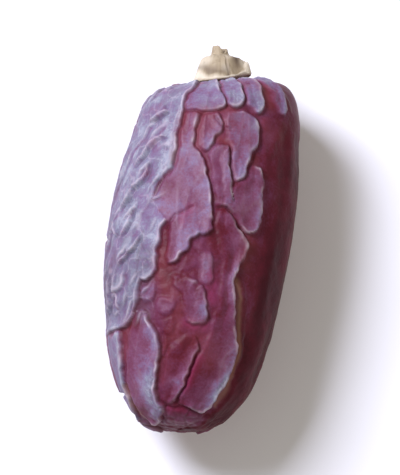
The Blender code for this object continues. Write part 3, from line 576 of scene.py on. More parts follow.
def raised_plates(chart, form):
    """Plates rise over their edge, in an S-curve, to a curled rim round a top that sags."""
    outline, crease, tall, plate_tone, facing = nearest_plate(chart)
    outline, crease, plate_tone = healed(chart, outline, crease, plate_tone)
    edge = np.minimum(outline, crease)
    patchy = 0.5 + 0.5 * noise(form + 60.0, 1.1)
    steep = smoothstep(-STEEP_TURN, STEEP_TURN, facing + 0.8 * (patchy - 0.5))
    steep = steep * smoothstep(0.4, 0.9, tall)
    width = SOFT_EDGE + (STEEP_EDGE - SOFT_EDGE) * steep
    shallow = CREASE_FLOOR + (1.0 - CREASE_FLOOR) * smoothstep(0.0, 1.0, crease / width)
    rise = smoothstep(EDGE_START, 1.0, outline / width) * shallow
    lip = LIP_HEIGHT * bump_at(edge, LIP_IN, LIP_WIDTH) * (0.3 + 0.7 * steep) * (0.4 + patchy)
    curl = bump_at(np.maximum(edge, CURL_IN), CURL_IN, CURL_WIDTH) * steep
    inner = smoothstep(0.2, 1.9, edge)
    plate = rise * (PLATE_HEIGHT * (1.0 - SAG * inner) + CURL_HEIGHT * (curl - CURL_MEAN))
    valley = valley_lumps(chart, form)
    valley_tone = VALLEY_TONE + 0.3 * valley + 0.06 * patchy
    # Painted highlight: the tone is lifted along each plate's curl, where it faces the lamp.
    waxed_tone_and_curl_highlight = plate_tone - 0.08 + 0.05 * inner + 0.16 * curl
    # Partly painted highlight: a pale band just inside each steep edge, where it curls up.
    pale_rim_and_highlight = bump_at(edge, PALE_IN, PALE_WIDTH) * steep * smoothstep(0.2, 0.85, patchy)
    # Painted shade: darker at each plate's foot, most where the edge is steep.
    painted_crease_shade = bump_at(edge, 0.0, FOOT_WIDTH) * (0.3 + 0.7 * steep)
    relief = {"height": tall * (plate + lip) + valley * (1.0 - rise) - VALLEY_DEPTH,
              "tone": valley_tone + (waxed_tone_and_curl_highlight - valley_tone) * rise,
              "pale_rim_and_highlight": pale_rim_and_highlight * smoothstep(0.6, 1.05, tall),
              "painted_crease_shade": painted_crease_shade * smoothstep(0.3, 0.9, tall)}
    return relief, rise, patchy


print("the plates stand about", PLATE_HEIGHT, "mm above the valleys")

# %% [markdown]
# The lines are laid over the plates: grooves are cut, and folds slip over what is under
# them. The masks of rims, creases and streaks take whichever mark is strongest at each
# vertex, so that crossing lines don't glare, but changes of the wax add up.

# %% Lines over the plates
CREASE_DEPTH, CREASE_WIDTH, CREASE_DARK = 0.65, 0.22, 1.4
FOLD_RIDGE, FOLD_LENGTH, FOLD_DROP, FOLD_FADE = 0.5, 1.2, 0.3, 0.15
FOLD_CREASE, FOLD_CREASE_AT, FOLD_CREASE_WIDTH = 0.26, 0.36, 0.25
FOLD_SHADE_AT, FOLD_SHADE_REACH = 0.35, 0.4
RIM_HEIGHT, RIM_WIDTH, RIM_COLOUR_WIDTH = 0.1, 0.3, 0.15


def cut_creases(relief, chart):
    """Each crease is a bell-shaped groove, with painted shade at its bottom."""
    for depth, line in CREASES:
        groove = bump_at(distance_to(chart, line), 0.0, CREASE_WIDTH)
        relief["height"] -= CREASE_DEPTH * depth * groove
        relief["painted_crease_shade"] = np.maximum(relief["painted_crease_shade"], CREASE_DARK * depth * groove)


def lay_folds(relief, chart):
    """A fold rises slowly to its crest and drops into a groove, with painted shade below it."""
    relief["painted_shade"] = np.zeros(len(chart))
    for line in FOLDS:
        right, way, _ = nearest_on_line(chart, on_chart(line))
        fade = smoothstep(0.0, FOLD_FADE, way) * smoothstep(0.0, FOLD_FADE, 1.0 - way)
        ridge = np.exp(np.minimum(right, 0.0) / FOLD_LENGTH)
        ridge = ridge * (1.0 - smoothstep(0.0, FOLD_DROP, right))
        groove = bump_at(right, FOLD_CREASE_AT, FOLD_CREASE_WIDTH)
        # Painted shade: a band darkened below each crest, where the fold faces away from the
        # light.
        shade = np.exp(-np.abs(right - FOLD_SHADE_AT) / FOLD_SHADE_REACH)
        shade = 0.8 * shade * smoothstep(0.0, FOLD_SHADE_AT, right)
        relief["height"] += (FOLD_RIDGE * ridge - FOLD_CREASE * groove) * fade
        # A pale line on each fold's crest, partly painted highlight.
        relief["pale_rim_and_highlight"] = np.maximum(relief["pale_rim_and_highlight"], 0.8 * bump_at(right, -0.12, 0.13) * fade)
        relief["painted_shade"] = np.maximum(relief["painted_shade"], shade * fade)


def lay_colours(relief, chart, rise, patchy):
    """Rims stand up, pale in part as painted highlight; streaks take the strongest bell; wax adds
    up.
    """
    for strength, line in PALE_RIMS_AND_HIGHLIGHTS:
        distance = distance_to(chart, line)
        pale = 0.6 * strength * bump_at(distance, 0.0, RIM_COLOUR_WIDTH) * (0.4 + 0.6 * patchy)
        relief["height"] += RIM_HEIGHT * strength * bump_at(distance, 0.0, RIM_WIDTH)
        relief["pale_rim_and_highlight"] = np.maximum(relief["pale_rim_and_highlight"], pale)
        relief["tone"] += 0.12 * strength * bump_at(distance, 0.0, 1.0) * rise
    for name, lines in STREAKS.items():
        relief[name] = np.zeros(len(chart))
        for reach, strength, line in lines:
            mark = strength * bump_at(distance_to(chart, line), 0.0, reach)
            relief[name] = np.maximum(relief[name], mark)
    for reach, gain, line in WAX_PATCHES:
        patch = bump_at(distance_to(chart, line), 0.0, reach)
        relief["tone"] += gain * patch * np.maximum(rise, 0.6)


deepest = CREASE_DEPTH * max(depth for depth, _ in CREASES)
print("the deepest crease is", round(deepest, 2), "mm deep")

# %% [markdown]
# Nobody has seen the back of this date, but it dried as the rest did. Outlines drawn for it
# would be made up too, so its wrinkles come from a rule: cells stretched along the fruit,
# seeded at random, each raised by its own height, with creases where two cells meet.

# %% The back
BACK_CELLS, BACK_CELL_STRETCH, BACK_SEED = 120, 2.3, 11
BACK_EDGE = 0.55


def back_face(points):
    """The relief of the stretched cells: the nearest cell wins each vertex."""
    rng = np.random.default_rng(BACK_SEED)
    cell_along = rng.uniform(1.0, SKIN_LENGTH - 1.0, BACK_CELLS)
    cell_angle = rng.uniform(-np.pi, np.pi, BACK_CELLS)
    cell_height = rng.uniform(0.25, 0.8, BACK_CELLS)
    cell_tone = rng.uniform(0.25, 0.7, BACK_CELLS)
    centres = smooth_form(cell_along, cell_angle)
    squash = np.array([1.0, 1.0 / BACK_CELL_STRETCH, 1.0])
    wander = 0.9 * np.stack([noise(points, 3.1), noise(points + 20.0, 3.1) * 1.5,
                             noise(points + 50.0, 3.1)], axis=-1)
    nearest = np.full(len(points), 1e9)
    second = np.full(len(points), 1e9)
    height = np.zeros(len(points))
    tone = np.zeros(len(points))
    for centre, tall, dusted in zip(centres, cell_height, cell_tone):
        distance = np.linalg.norm((points + wander - centre) * squash, axis=-1)
        closer = distance < nearest
        second = np.where(closer, nearest, np.minimum(second, distance))
        height = np.where(closer, tall, height)
        tone = np.where(closer, dusted, tone)
        nearest = np.where(closer, distance, nearest)
    edge = second - nearest
    rise = smoothstep(0.05, BACK_EDGE, edge)
    return {"height": height * rise - VALLEY_DEPTH - 0.1,
            "tone": VALLEY_TONE + (tone - VALLEY_TONE) * rise,
            # The pale band inside each cell's edge is partly painted highlight.
            "pale_rim_and_highlight": 0.4 * bump_at(edge, 0.45, 0.25) * height,
            # Painted shade in the creases between the cells.
            "painted_crease_shade": 0.45 * bump_at(edge, 0.0, 0.16)}


print(BACK_CELLS, "cells on the back")

# %% [markdown]
# The flanks differ. The left one is covered with thin folds that slant across it like
# shingles, under a thick bloom. On it, painted light is laid into the colour: the shingles
# are lighter towards their crests, with a painted highlight near the stalk, and painted
# shade greys the flank, more towards the tip, at its far edge and at each shingle's foot.
# The right one has only long shallow folds, and its skin is almost bare. Both are rules,
# laid over the plates or in place of them.

# %% The flanks
LEFT_FLANK, LEFT_END = (24.0, 34.0), (33.0, 36.0)
SHINGLE_SPACING, SHINGLE_DEPTH, CRINKLE_HEIGHT = 2.4, 0.5, 0.07
RIGHT_FLANK, RIGHT_BACK, RIGHT_START = (42.0, 56.0), (104.0, 126.0), (6.0, 9.0)
LONG_FOLD_SIZE, LONG_FOLD_HEIGHT = 2.6, 0.34


def shingles(chart, warp):
    """Slanted folds that rise slowly and drop sharply, 1 on their crests, and 1 at their feet."""
    phase = (0.62 * chart[:, 0] + 0.78 * chart[:, 1] + 1.1 * warp) / SHINGLE_SPACING
    f = phase - np.floor(phase)
    drop = 1.0 - smoothstep(0.86, 1.0, f)
    return f * drop - 0.45, bump_at(f, 0.82, 0.09), bump_at(f, 0.96, 0.05)


def lay_left_flank(relief, chart, form, s, degrees):
    """Shingles where a noise is high, and crinkles, with painted highlights and painted shade."""
    left = smoothstep(*LEFT_FLANK, -degrees) * (1.0 - smoothstep(*LEFT_END, s))
    fold, crest, foot = shingles(chart, noise(form + 30.0, 2.6))
    strength = smoothstep(-0.3, 0.6, noise(form + 80.0, 1.8)) * left
    crinkled = ridged(form + 15.0, 1.7)
    # Painted highlight: pale on the shingle crests and on the crinkle crests.
    crest_highlight = np.maximum(0.8 * crest * strength, 0.4 * smoothstep(0.75, 1.0, crinkled) * left)
    relief["height"] += (SHINGLE_DEPTH * fold * strength + CRINKLE_HEIGHT * crinkled) * left
    relief["pale_rim_and_highlight"] = np.maximum(relief["pale_rim_and_highlight"], crest_highlight)
    # Painted light: each shingle's tone rises towards its crest, as its lit slope does.
    relief["tone"] += (0.4 * fold * strength + 0.14 * bump_at(s, 20.0, 8.0)) * left
    # Painted highlight: a lighter patch high on the left flank, near the stalk end.
    relief["tone"] += 0.22 * bump_at(s, 3.0, 1.9) * bump_at(degrees, -58.0, 15.0)
    # Painted shade: grey over the flank, more near the tip, at its far edge and shingle feet.
    grey = left * (0.16 + 0.45 * smoothstep(22.0, 31.0, s) + 0.35 * noise(form + 25.0, 1.7))
    grey = np.maximum(grey, 0.0) + 0.35 * bump_at(degrees, -82.0, 13.0)
    relief["painted_shade"] = np.maximum(relief["painted_shade"], np.maximum(grey, 0.7 * foot * strength))


def blend_in(relief, other, share):
    """Move each value of the relief towards the other's: none at share 0, all at 1."""
    for name, value in other.items():
        relief[name] = relief[name] + (value - relief[name]) * share


def lay_right_flank(relief, form, s, degrees):
    """Long shallow folds in bare skin take the place of what is on the right flank."""
    right = smoothstep(*RIGHT_FLANK, degrees) * (1.0 - smoothstep(*RIGHT_BACK, degrees))
    folds = noise(form * np.array([1.0, 0.16, 1.0]) + 11.0, LONG_FOLD_SIZE)
    bare = 0.04 + 0.15 * folds + 0.12 * (1.0 - smoothstep(14.0, 30.0, s))
    flank = {"height": LONG_FOLD_HEIGHT * folds - 0.05, "tone": bare, "pale_rim_and_highlight": 0.0, "painted_crease_shade": 0.0}
    blend_in(relief, flank, right * smoothstep(*RIGHT_START, s))


print("the shingles are", SHINGLE_SPACING, "mm apart")

# %% [markdown]
# Now the whole skin, from these layers. Noise bends all the lines a little and is added on
# top, as no skin dries evenly, and the tip is crumpled. The relief fades out under the
# calyx, and at the small flat spot that the date rests on.

# %% The whole skin
BACK_FROM = (74.0, 100.0)
BEND, SMALL_BEND = 0.3, 0.17
TIP_FROM, TIP_LUMPS, TIP_LUMP_SIZE = (44.6, 45.6), 0.09, 1.3
FLOOR_FADE = (0.1, 2.2)
DULL_FROM = (30.0, 52.0)


def skin(along, angle, form):
    """Heights in millimetres and the finish masks: the top face, the flanks, then the back."""
    degrees = np.degrees(angle)
    s = np.interp(along, TABLE_ALONG, TABLE_S)
    share = np.interp(along, TABLE_ALONG, TABLE_SHARE)
    chart = np.stack([along, angle * share * HALF_WIDTH], axis=-1)
    warp = np.stack([noise(form, 1.7), noise(form + 40.0, 1.7)], axis=-1)
    small_warp = np.stack([fine_noise(form, 0.65), fine_noise(form + 9.0, 0.65)], axis=-1)
    chart = chart + BEND * warp + SMALL_BEND * small_warp

    relief, rise, patchy = raised_plates(chart, form)
    cut_creases(relief, chart)
    lay_folds(relief, chart)
    lay_colours(relief, chart, rise, patchy)
    lay_left_flank(relief, chart, form, s, degrees)
    lay_right_flank(relief, form, s, degrees)
    to_back = np.maximum(smoothstep(*BACK_FROM, -degrees), smoothstep(*RIGHT_BACK, degrees))
    blend_in(relief, back_face(form), to_back)

    lengthwise = form * np.array([1.0, 0.2, 1.0])
    creeping = ridged(lengthwise, 1.5)
    waxed = smoothstep(0.3, 0.55, relief["tone"])
    tip = smoothstep(*TIP_FROM, s)
    tip_lumps = lumps(form + 2.0, TIP_LUMP_SIZE)
    relief["height"] += 0.14 * noise(form, 5.5) + 0.07 * noise(form + 7.0, 1.9)
    relief["height"] += 0.08 * waxed * creeping + 0.03 * fine_noise(form, 0.55)
    relief["height"] += tip * (TIP_LUMPS * tip_lumps - 0.06)
    # Painted highlight: thin pale lines on the crests of the fine wrinkles, where wax lies.
    relief["pale_rim_and_highlight"] = np.maximum(relief["pale_rim_and_highlight"], 0.12 * smoothstep(0.75, 1.0, creeping) * waxed)
    relief["tone"] += 0.07 * noise(lengthwise + 3.0, 1.2) + 0.07 * noise(form + 90.0, 3.4)
    # Painted shade in the crevices between the tip's lumps.
    relief["painted_crease_shade"] = np.maximum(relief["painted_crease_shade"], 0.6 * tip * (1.0 - tip_lumps))

    radius = np.hypot(form[:, 0] - STALK_X, form[:, 2] - AXIS_Z)
    under_calyx = (along < SKIN_LENGTH / 2) * (1.0 - smoothstep(*RELIEF_FROM_RADIUS, radius))
    for name in ("height", "pale_rim_and_highlight", "painted_crease_shade"):
        relief[name] *= 1.0 - under_calyx
    relief["gloss"] = (1.0 - 0.95 * smoothstep(*DULL_FROM, degrees)) * (0.3 + 0.7 * waxed)
    height = relief.pop("height") * smoothstep(*FLOOR_FADE, form[:, 2])
    return height, relief


print("relief starts", RELIEF_FROM_RADIUS[0], "mm from the stalk")

# %% [markdown]
# Both pieces are closed grids, which can follow a formula at every vertex, as a sphere with
# modifiers can't. They need care in two places: the seam, where the last column meets the
# first, and the poles, where a whole row shrinks to one point. Here the columns wrap round,
# and each pole is a single vertex with a fan of triangles. The fruit's columns stand closer
# together on the top face, where the light rakes over the plates.

# %% Grid meshes
ROWS, COLUMNS = 340, 292
TOP_CROWDING, CROWDED_AT = 0.5, -18.0


def closed_grid_faces(rows, columns):
    """Quads between neighbouring rows, wrapping round, and a fan of triangles at each pole."""
    row, column = np.meshgrid(np.arange(rows - 1), np.arange(columns), indexing="ij")
    after = (column + 1) % columns
    a = 1 + row * columns
    quads = np.stack([a + column, a + after, a + columns + after, a + columns + column], axis=-1)
    last = 1 + rows * columns
    ring = np.arange(columns)
    after = (ring + 1) % columns
    first_fan = np.stack([np.zeros(columns, int), 1 + after, 1 + ring], axis=-1)
    end = 1 + (rows - 1) * columns
    last_fan = np.stack([np.full(columns, last), end + ring, end + after], axis=-1)
    return quads.reshape(-1, 4).tolist() + first_fan.tolist() + last_fan.tolist()


def grid_places(rows, columns, crowding=0.0, crowded_at=0.0):
    """The share of the way between the poles and the angle, pole first and pole last."""
    way, turn = np.meshgrid((np.arange(rows) + 1) / (rows + 1), np.arange(columns) / columns,
                            indexing="ij")
    turn = (turn.ravel() - 0.5) * 2.0 * np.pi
    angle = turn - crowding * np.sin(turn) + np.radians(crowded_at)
    angle = (angle + np.pi) % (2.0 * np.pi) - np.pi
    way = np.concatenate([[0.0], way.ravel(), [1.0]])
    return way, np.concatenate([[0.0], angle, [0.0]])


def mesh_piece(name, points, faces, masks, made_of):
    """A smooth-shaded object at the origin, with its finish masks as attributes."""
    mesh = bpy.data.meshes.new(name)
    mesh.from_pydata((points * MM).tolist(), [], faces)
    mesh.shade_smooth()
    for mask, values in masks.items():
        layer = mesh.attributes.new(mask, "FLOAT", "POINT")
        layer.data.foreach_set("value", np.clip(values, 0.0, 1.0).astype(np.float32))
    mesh.materials.append(made_of)
    mesh.update()
    piece = bpy.data.objects.new(name, mesh)
    bpy.context.scene.collection.objects.link(piece)
    return piece


def inside_box(points, node):
    """Ease a piece inside its node's box: each axis is stretched or shrunk to fit between."""
    low, high = (np.array(corner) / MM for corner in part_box(node))
    ours_low, ours_high = points.min(axis=0), points.max(axis=0)
    share = (points - ours_low) / (ours_high - ours_low)
    print(node, "eased by", (high - low - ours_high + ours_low).round(2), "mm")
    return low + share * (high - low)


print("the fruit's grid has", ROWS * COLUMNS + 2, "vertices")

# %% [markdown]
# A few helpers serve every finish. Colours are picked as hex values, as a screen shows them,
# but light adds up linearly, so one function turns them. Another adds a node, and takes
# whatever feeds an input, be it a number, a hex colour or another node's output, in the
# same way. So a material reads as the list of its layers.

# %% Colours and nodes


def linear(hex_colour):
    """An sRGB hex colour as linear RGBA: (c + 0.055) / 1.055 to the power 2.4, or c / 12.92."""
    channels = [int(hex_colour[i:i + 2], 16) / 255.0 for i in (1, 3, 5)]
    bent = [c / 12.92 if c <= 0.04045 else ((c + 0.055) / 1.055) ** 2.4 for c in channels]
    return (*bent, 1.0)


def new_material(name):
    """An empty Principled material: its node tree and its shader."""
    made = bpy.data.materials.new(name)
    made.use_nodes = True
    return made, made.node_tree, made.node_tree.nodes["Principled BSDF"]


def feed(tree, node, inputs):
    """Give each input what feeds it: another node's output, a hex colour, or a plain value."""
    for socket, value in inputs.items():
        if isinstance(value, bpy.types.NodeSocket):
            tree.links.new(value, node.inputs[socket])
        elif isinstance(value, str):
            node.inputs[socket].default_value = linear(value)
        else:
            node.inputs[socket].default_value = value


def add_node(tree, kind, inputs, output=0, **settings):
    """Add a node with its settings, feed its inputs, and give back one of its outputs."""
    node = tree.nodes.new("ShaderNode" + kind)
    for name, value in settings.items():
        setattr(node, name, value)
    feed(tree, node, inputs)
    return node.outputs[output]


print("mid grey on a screen is", round(linear("#808080")[0], 3), "of full light")

# %% [markdown]
# The finish is dried date skin: a tough red-brown film over brown sugar-rich flesh. It is
# smooth and satin where the skin is bare. On the raised plates it carries a bloom, a thin
# coat of wax that scatters blue light, so they look lilac and dull. Rims are pale, partly
# as painted highlight, and painted shade darkens the foot of each plate, the creases, and
# the skin under folds and on the left flank. A picture of a date would give all this at
# once, but it would hold one light. So a ramp gives the colour of skin under more and more
# wax, and the other masks are coats over it.

# %% Dried date skin
TONES = [(0.0, "#43151d"), (0.2, "#5b1c29"), (0.36, "#683048"), (0.52, "#73425c"),
         (0.72, "#775f7d"), (0.88, "#7d7688"), (1.0, "#908f9b")]
# Coats 1 and 5 are painted shade; the last, pale rims, is partly painted highlight.
SKIN_COATS = {"painted_shade": (0.75, "#4e4656"), "warm": (0.75, "#78353a"), "blush": (0.4, "#8a2a50"),
              "tan": (0.6, "#8a6450"), "painted_crease_shade": (0.6, "#4c1820"), "pale_rim_and_highlight": (0.6, "#c6b8bd")}
# Each pattern's size in millimetres, its detail, and how much it changes the tone. Real wax
# specks are far finer than 0.3 mm: these are drawn so coarse that they show.
SKIN_PATTERNS = {"blotches": (1.7, 3.0, 0.6), "specks": (0.3, 2.0, 0.35),
                 "clouds": (4.5, 2.0, 0.35)}
SKIN_WRINKLES, SKIN_GRAIN_DEPTH = 1.6, 0.14


def uneven_tone(tree, tone, patterns):
    """The tone plus the patterns round their middles, more of them where the wax is thick."""
    uneven = -0.5 * sum(amount for _, _, amount in SKIN_PATTERNS.values())
    for name, (_, _, amount) in SKIN_PATTERNS.items():
        uneven = add_node(tree, "Math", {0: patterns[name], 1: amount, 2: uneven},
                          operation="MULTIPLY_ADD")
    thick = add_node(tree, "Math", {0: tone, 1: 1.1, 2: 0.35}, operation="MULTIPLY_ADD")
    return add_node(tree, "Math", {0: uneven, 1: thick, 2: tone}, operation="MULTIPLY_ADD",
                    use_clamp=True)


def dried_date_skin():
    """Dried fruit skin, puckered and dusted with wax: satin where bare, dull where dusted."""
    made, tree, shader = new_material("dried date skin")
    mask = {name: add_node(tree, "Attribute", {}, "Fac", attribute_name=name)
            for name in ("tone", "gloss", *SKIN_COATS)}
    place = add_node(tree, "TexCoord", {}, "Object")
    patterns = {}
    for name, (size, detail, _) in SKIN_PATTERNS.items():
        patterns[name] = add_node(tree, "TexNoise", {
            "Vector": place, "Scale": 1.0 / (size * MM), "Detail": detail,
            "Roughness": 0.55}, "Fac")
    tone = uneven_tone(tree, mask["tone"], patterns)
    colour = add_node(tree, "ValToRGB", {"Fac": tone})
    stops = colour.node.color_ramp.elements
    while len(stops) < len(TONES):
        stops.new(0.5)
    for stop, (position, shade) in zip(stops, TONES):
        stop.position = position
        stop.color = linear(shade)
    for name, (strength, coat) in SKIN_COATS.items():
        share = add_node(tree, "Math", {0: mask[name], 1: strength}, operation="MULTIPLY")
        colour = add_node(tree, "Mix", {0: share, 6: colour, 7: coat}, 2, data_type="RGBA")
    lengthwise = add_node(tree, "Mapping", {"Vector": place, "Scale": (1.0, 0.45, 1.0)})
    wrinkles = add_node(tree, "TexNoise", {
        "Vector": lengthwise, "Scale": 1.0 / (SKIN_WRINKLES * MM), "Detail": 3.0}, "Fac",
        noise_type="RIDGED_MULTIFRACTAL", normalize=True)
    grain = patterns["blotches"]
    for pattern, amount in ((patterns["specks"], 0.45), (wrinkles, 0.4)):
        grain = add_node(tree, "Math", {0: pattern, 1: amount, 2: grain},
                         operation="MULTIPLY_ADD")
    feed(tree, shader, {
        "Base Color": colour,
        "Roughness": add_node(tree, "Math", {0: tone, 1: 0.15, 2: 0.42},
                              operation="MULTIPLY_ADD"),
        "Specular IOR Level": add_node(tree, "Math", {0: mask["gloss"], 1: 0.23, 2: 0.07},
                                       operation="MULTIPLY_ADD"),
        "Normal": add_node(tree, "Bump", {"Height": grain, "Strength": 0.6,
                                          "Distance": SKIN_GRAIN_DEPTH * MM}),
        "IOR": 1.45, "Subsurface Weight": 0.15, "Subsurface Radius": (1.0, 0.35, 0.25),
        "Subsurface Scale": 0.6 * MM})
    return made


DATE_SKIN = dried_date_skin()
print(DATE_SKIN.name, "has", len(DATE_SKIN.node_tree.nodes), "nodes")

# %% [markdown]
# The fruit is the smooth form, pushed out along its normals by the skin's relief. Bump in
# the material would cost less, but it would leave the outline smooth and cast no shadows.

# %% Make the fruit


def make_fruit():
    """The fruit: the smooth form plus its normals times the skin's relief."""
    way, angle = grid_places(ROWS, COLUMNS, TOP_CROWDING, CROWDED_AT)
    along = way * SKIN_LENGTH
    form = smooth_form(along, angle)
    height, masks = skin(along, angle, form)
    points = form + outward(along, angle) * height[:, None]
    points[:, 2] = np.maximum(points[:, 2], 0.0)
    points = inside_box(points, "fruit")
    return mesh_piece("date_fruit", points, closed_grid_faces(ROWS, COLUMNS), masks, DATE_SKIN)


fruit = make_fruit()
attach(fruit, "root")
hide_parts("fruit")
print("the fruit has", len(fruit.data.polygons), "faces")

# %% [markdown]
# The calyx is what is left of the flower: three woody lobes fused into a cup, straw-coloured
# and fibrous, with the broken stub of the stalk on top. Three bent sheets could be joined
# for it, but a closed turned profile has no gaps, and its radius and height can change round
# it. So the front lobe overlaps its neighbours with a small step, the rim is ruffled, lifted
# at the right and rolled, and the stub is a hollow socket with a notch.

# %% The calyx
CALYX_PROFILE = [
    (0.0, 2.9), (0.3, 3.0), (0.48, 3.5), (0.62, 4.5), (0.8, 4.86), (1.02, 4.75), (1.12, 4.1),
    (1.26, 3.6), (1.9, 3.42), (2.6, 3.1), (3.1, 2.3), (3.4, 1.4), (3.66, 0.6), (3.86, 0.15)]
CALYX_GAP = 0.32
CALYX_RIM_THICKNESS = 0.3
CALYX_LEAN = -0.09
CALYX_TOP_SLANT = 0.35
CALYX_TOP_SHARE = 0.84
CALYX_LOBES, CALYX_LOBE_PHASE = 3.0, 1.83
CALYX_ROWS, CALYX_COLUMNS = 190, 288
LOBE_EDGES = {"right of the front lobe": (22.0, 7.0), "left of the front lobe": (262.0, -7.0),
              "behind the right lobe": (142.0, -6.0)}
STUB_NOTCH_AT, STUB_NOTCH = 40.0, 0.9
RIM_LIFT_AT, RIM_LIFT, RIM_ROLL = 68.0, 0.5, 0.24
FIBRE_RING = 8.0
SPOT_AT = (52.0, 2.7)


def skin_plane(x, z):
    """How far the slanted plane of the stalk end lies beyond its centre."""
    return (LONG_SKEW + SHORT_SKEW) * x - SHORT_SLANT * z


def turn_between(degrees, middle):
    """Signed degrees from the middle, the short way round."""
    return (degrees - middle + 180.0) % 360.0 - 180.0


def dry_calyx_shape():
    """Points and finish masks of the calyx, from its profile, lobes, folds and fibres."""
    way, angle = grid_places(CALYX_ROWS, CALYX_COLUMNS)
    degrees = np.degrees(angle)
    outer = np.array(CALYX_PROFILE)
    steps = np.hypot(*np.diff(outer, axis=0).T)
    along = np.concatenate([[0.0], np.cumsum(steps)]) / steps.sum()
    on_top = np.clip(way / CALYX_TOP_SHARE, 0.0, 1.0)
    under = np.clip((1.0 - way) / (1.0 - CALYX_TOP_SHARE), 0.0, 1.0)
    top_side = way <= CALYX_TOP_SHARE
    radius = np.where(top_side, np.interp(on_top, along, outer[:, 0]), outer[-1, 0] * under)
    height = np.interp(on_top, along, outer[:, 1])
    spread = smoothstep(1.3, 3.8, radius)
    lobe = np.cos(CALYX_LOBES * angle + CALYX_LOBE_PHASE)
    radius = radius * (1.0 + (0.045 * lobe + 0.03 * np.cos(5.0 * angle - 1.1)) * spread)
    place = np.stack([radius * np.sin(angle), height, radius * np.cos(angle)], axis=-1)
    step_up, seam = np.zeros((2, len(angle)))
    for middle, width in LOBE_EDGES.values():
        past = turn_between(degrees + 6.0 * noise(place + 3.0, 1.4), middle) / width
        step_up = step_up + np.where(past > 0.0, np.exp(-past / 4.0), 0.0)
        seam = np.maximum(seam, bump_at(past, -0.2, 0.5))
    ruffle = 0.12 * np.cos(7.0 * angle + 0.5) + 0.07 * np.cos(12.0 * angle + 2.0)
    edge = smoothstep(2.7, 3.7, radius)
    lifted = RIM_LIFT * edge * bump_at(turn_between(degrees, RIM_LIFT_AT), 0.0, 42.0)
    rolled = RIM_ROLL * (bump_at(radius, 3.75, 0.28) - 1.3 * bump_at(radius, 3.2, 0.3))
    round_it = [FIBRE_RING * np.sin(angle), height * 0.3, FIBRE_RING * np.cos(angle)]
    fibres = fine_noise(np.stack(round_it, axis=-1), 0.35)
    fold = (0.2 * lobe + 0.3 * (step_up - 0.4)) * spread + ruffle * edge - 0.25 * seam * spread
    fold = fold + lifted + rolled * spread
    crumple = 0.3 * noise(place + 5.0, 1.2) * spread + 0.09 * fine_noise(place, 0.5)
    crumple = crumple + 0.02 * fibres
    on_stub = 1.0 - smoothstep(1.15, 1.5, radius)
    notch = STUB_NOTCH * bump_at(turn_between(degrees, STUB_NOTCH_AT), 0.0, 34.0)
    lip = smoothstep(3.6, 4.4, height) * on_stub * (notch - 0.1 * np.cos(angle + 1.05))
    x, z = place[:, 0], place[:, 2]
    slant = CALYX_TOP_SLANT + (1.0 - CALYX_TOP_SLANT) * spread
    top = np.maximum(height - lip + fold + crumple, 0.0) + skin_plane(x, z) * slant
    dish = DISH_DEPTH * np.clip(1.0 - (np.hypot(x, z) / DISH_RADIUS) ** 2, 0.0, 1.0) ** 2
    floor = skin_plane(x, z) - dish + CALYX_GAP + 0.8 * lifted
    top = np.maximum(top, floor + CALYX_RIM_THICKNESS)
    y = np.where(top_side, top, floor)
    points = np.stack([STALK_X + x + CALYX_LEAN * height, STALK_Y + y, z + AXIS_Z], axis=-1)
    hollow = bump_at(radius, 0.0, 0.6) * top_side
    # Painted shade: a patchy dark ring in the groove above the rolled rim.
    over_rim = bump_at(radius, 3.3, 0.22) * smoothstep(-0.2, 0.5, fine_noise(place + 4.0, 1.3))
    spot_turn = turn_between(degrees, SPOT_AT[0])
    spot = bump_at(spot_turn, 0.0, 16.0) * bump_at(radius, SPOT_AT[1], 0.55)
    # Painted highlight: pale straw on the raised crumples.
    shine = smoothstep(-0.2, 0.7, noise(place + 5.0, 1.2)) * spread
    # The seam mask is painted shade in the seams between lobes and in the groove above the rim.
    masks = {"hollow": hollow, "seam": np.maximum(seam * spread, 0.8 * over_rim) * top_side,
             "lip": bump_at(radius, 3.8, 0.2) * top_side, "fibre": 0.5 + 0.5 * fibres,
             "spot": spot * top_side, "shine": shine}
    return points, masks


points, masks = dry_calyx_shape()
points = inside_box(points, "calyx")
print("the calyx is", np.ptp(points, axis=0).round(1), "mm")

# %% [markdown]
# Dry woody tissue has no wax and no gloss. Its fibres run from the stub to the rim, its
# rolled rim is pale, and it is brown where it is torn and in its hollow. Its crests carry
# a painted highlight, and painted shade darkens its seams and the groove above the rim. A
# wood texture would be too regular, so the masks of the shape say where.

# %% Dry woody calyx
STRAW, PALE_STRAW, BRIGHT_STRAW, BROWN_STRAW = "#94805f", "#b8a88b", "#e2d6bd", "#4e3926"
# Real fibres are finer, by an estimate about 0.1 mm: they are drawn 0.3 mm, so that they show.
FIBRE_SIZE, FIBRE_STRETCH, AGE_SPOT_SIZE = 0.3, (1.0, 0.3, 1.0), 1.3


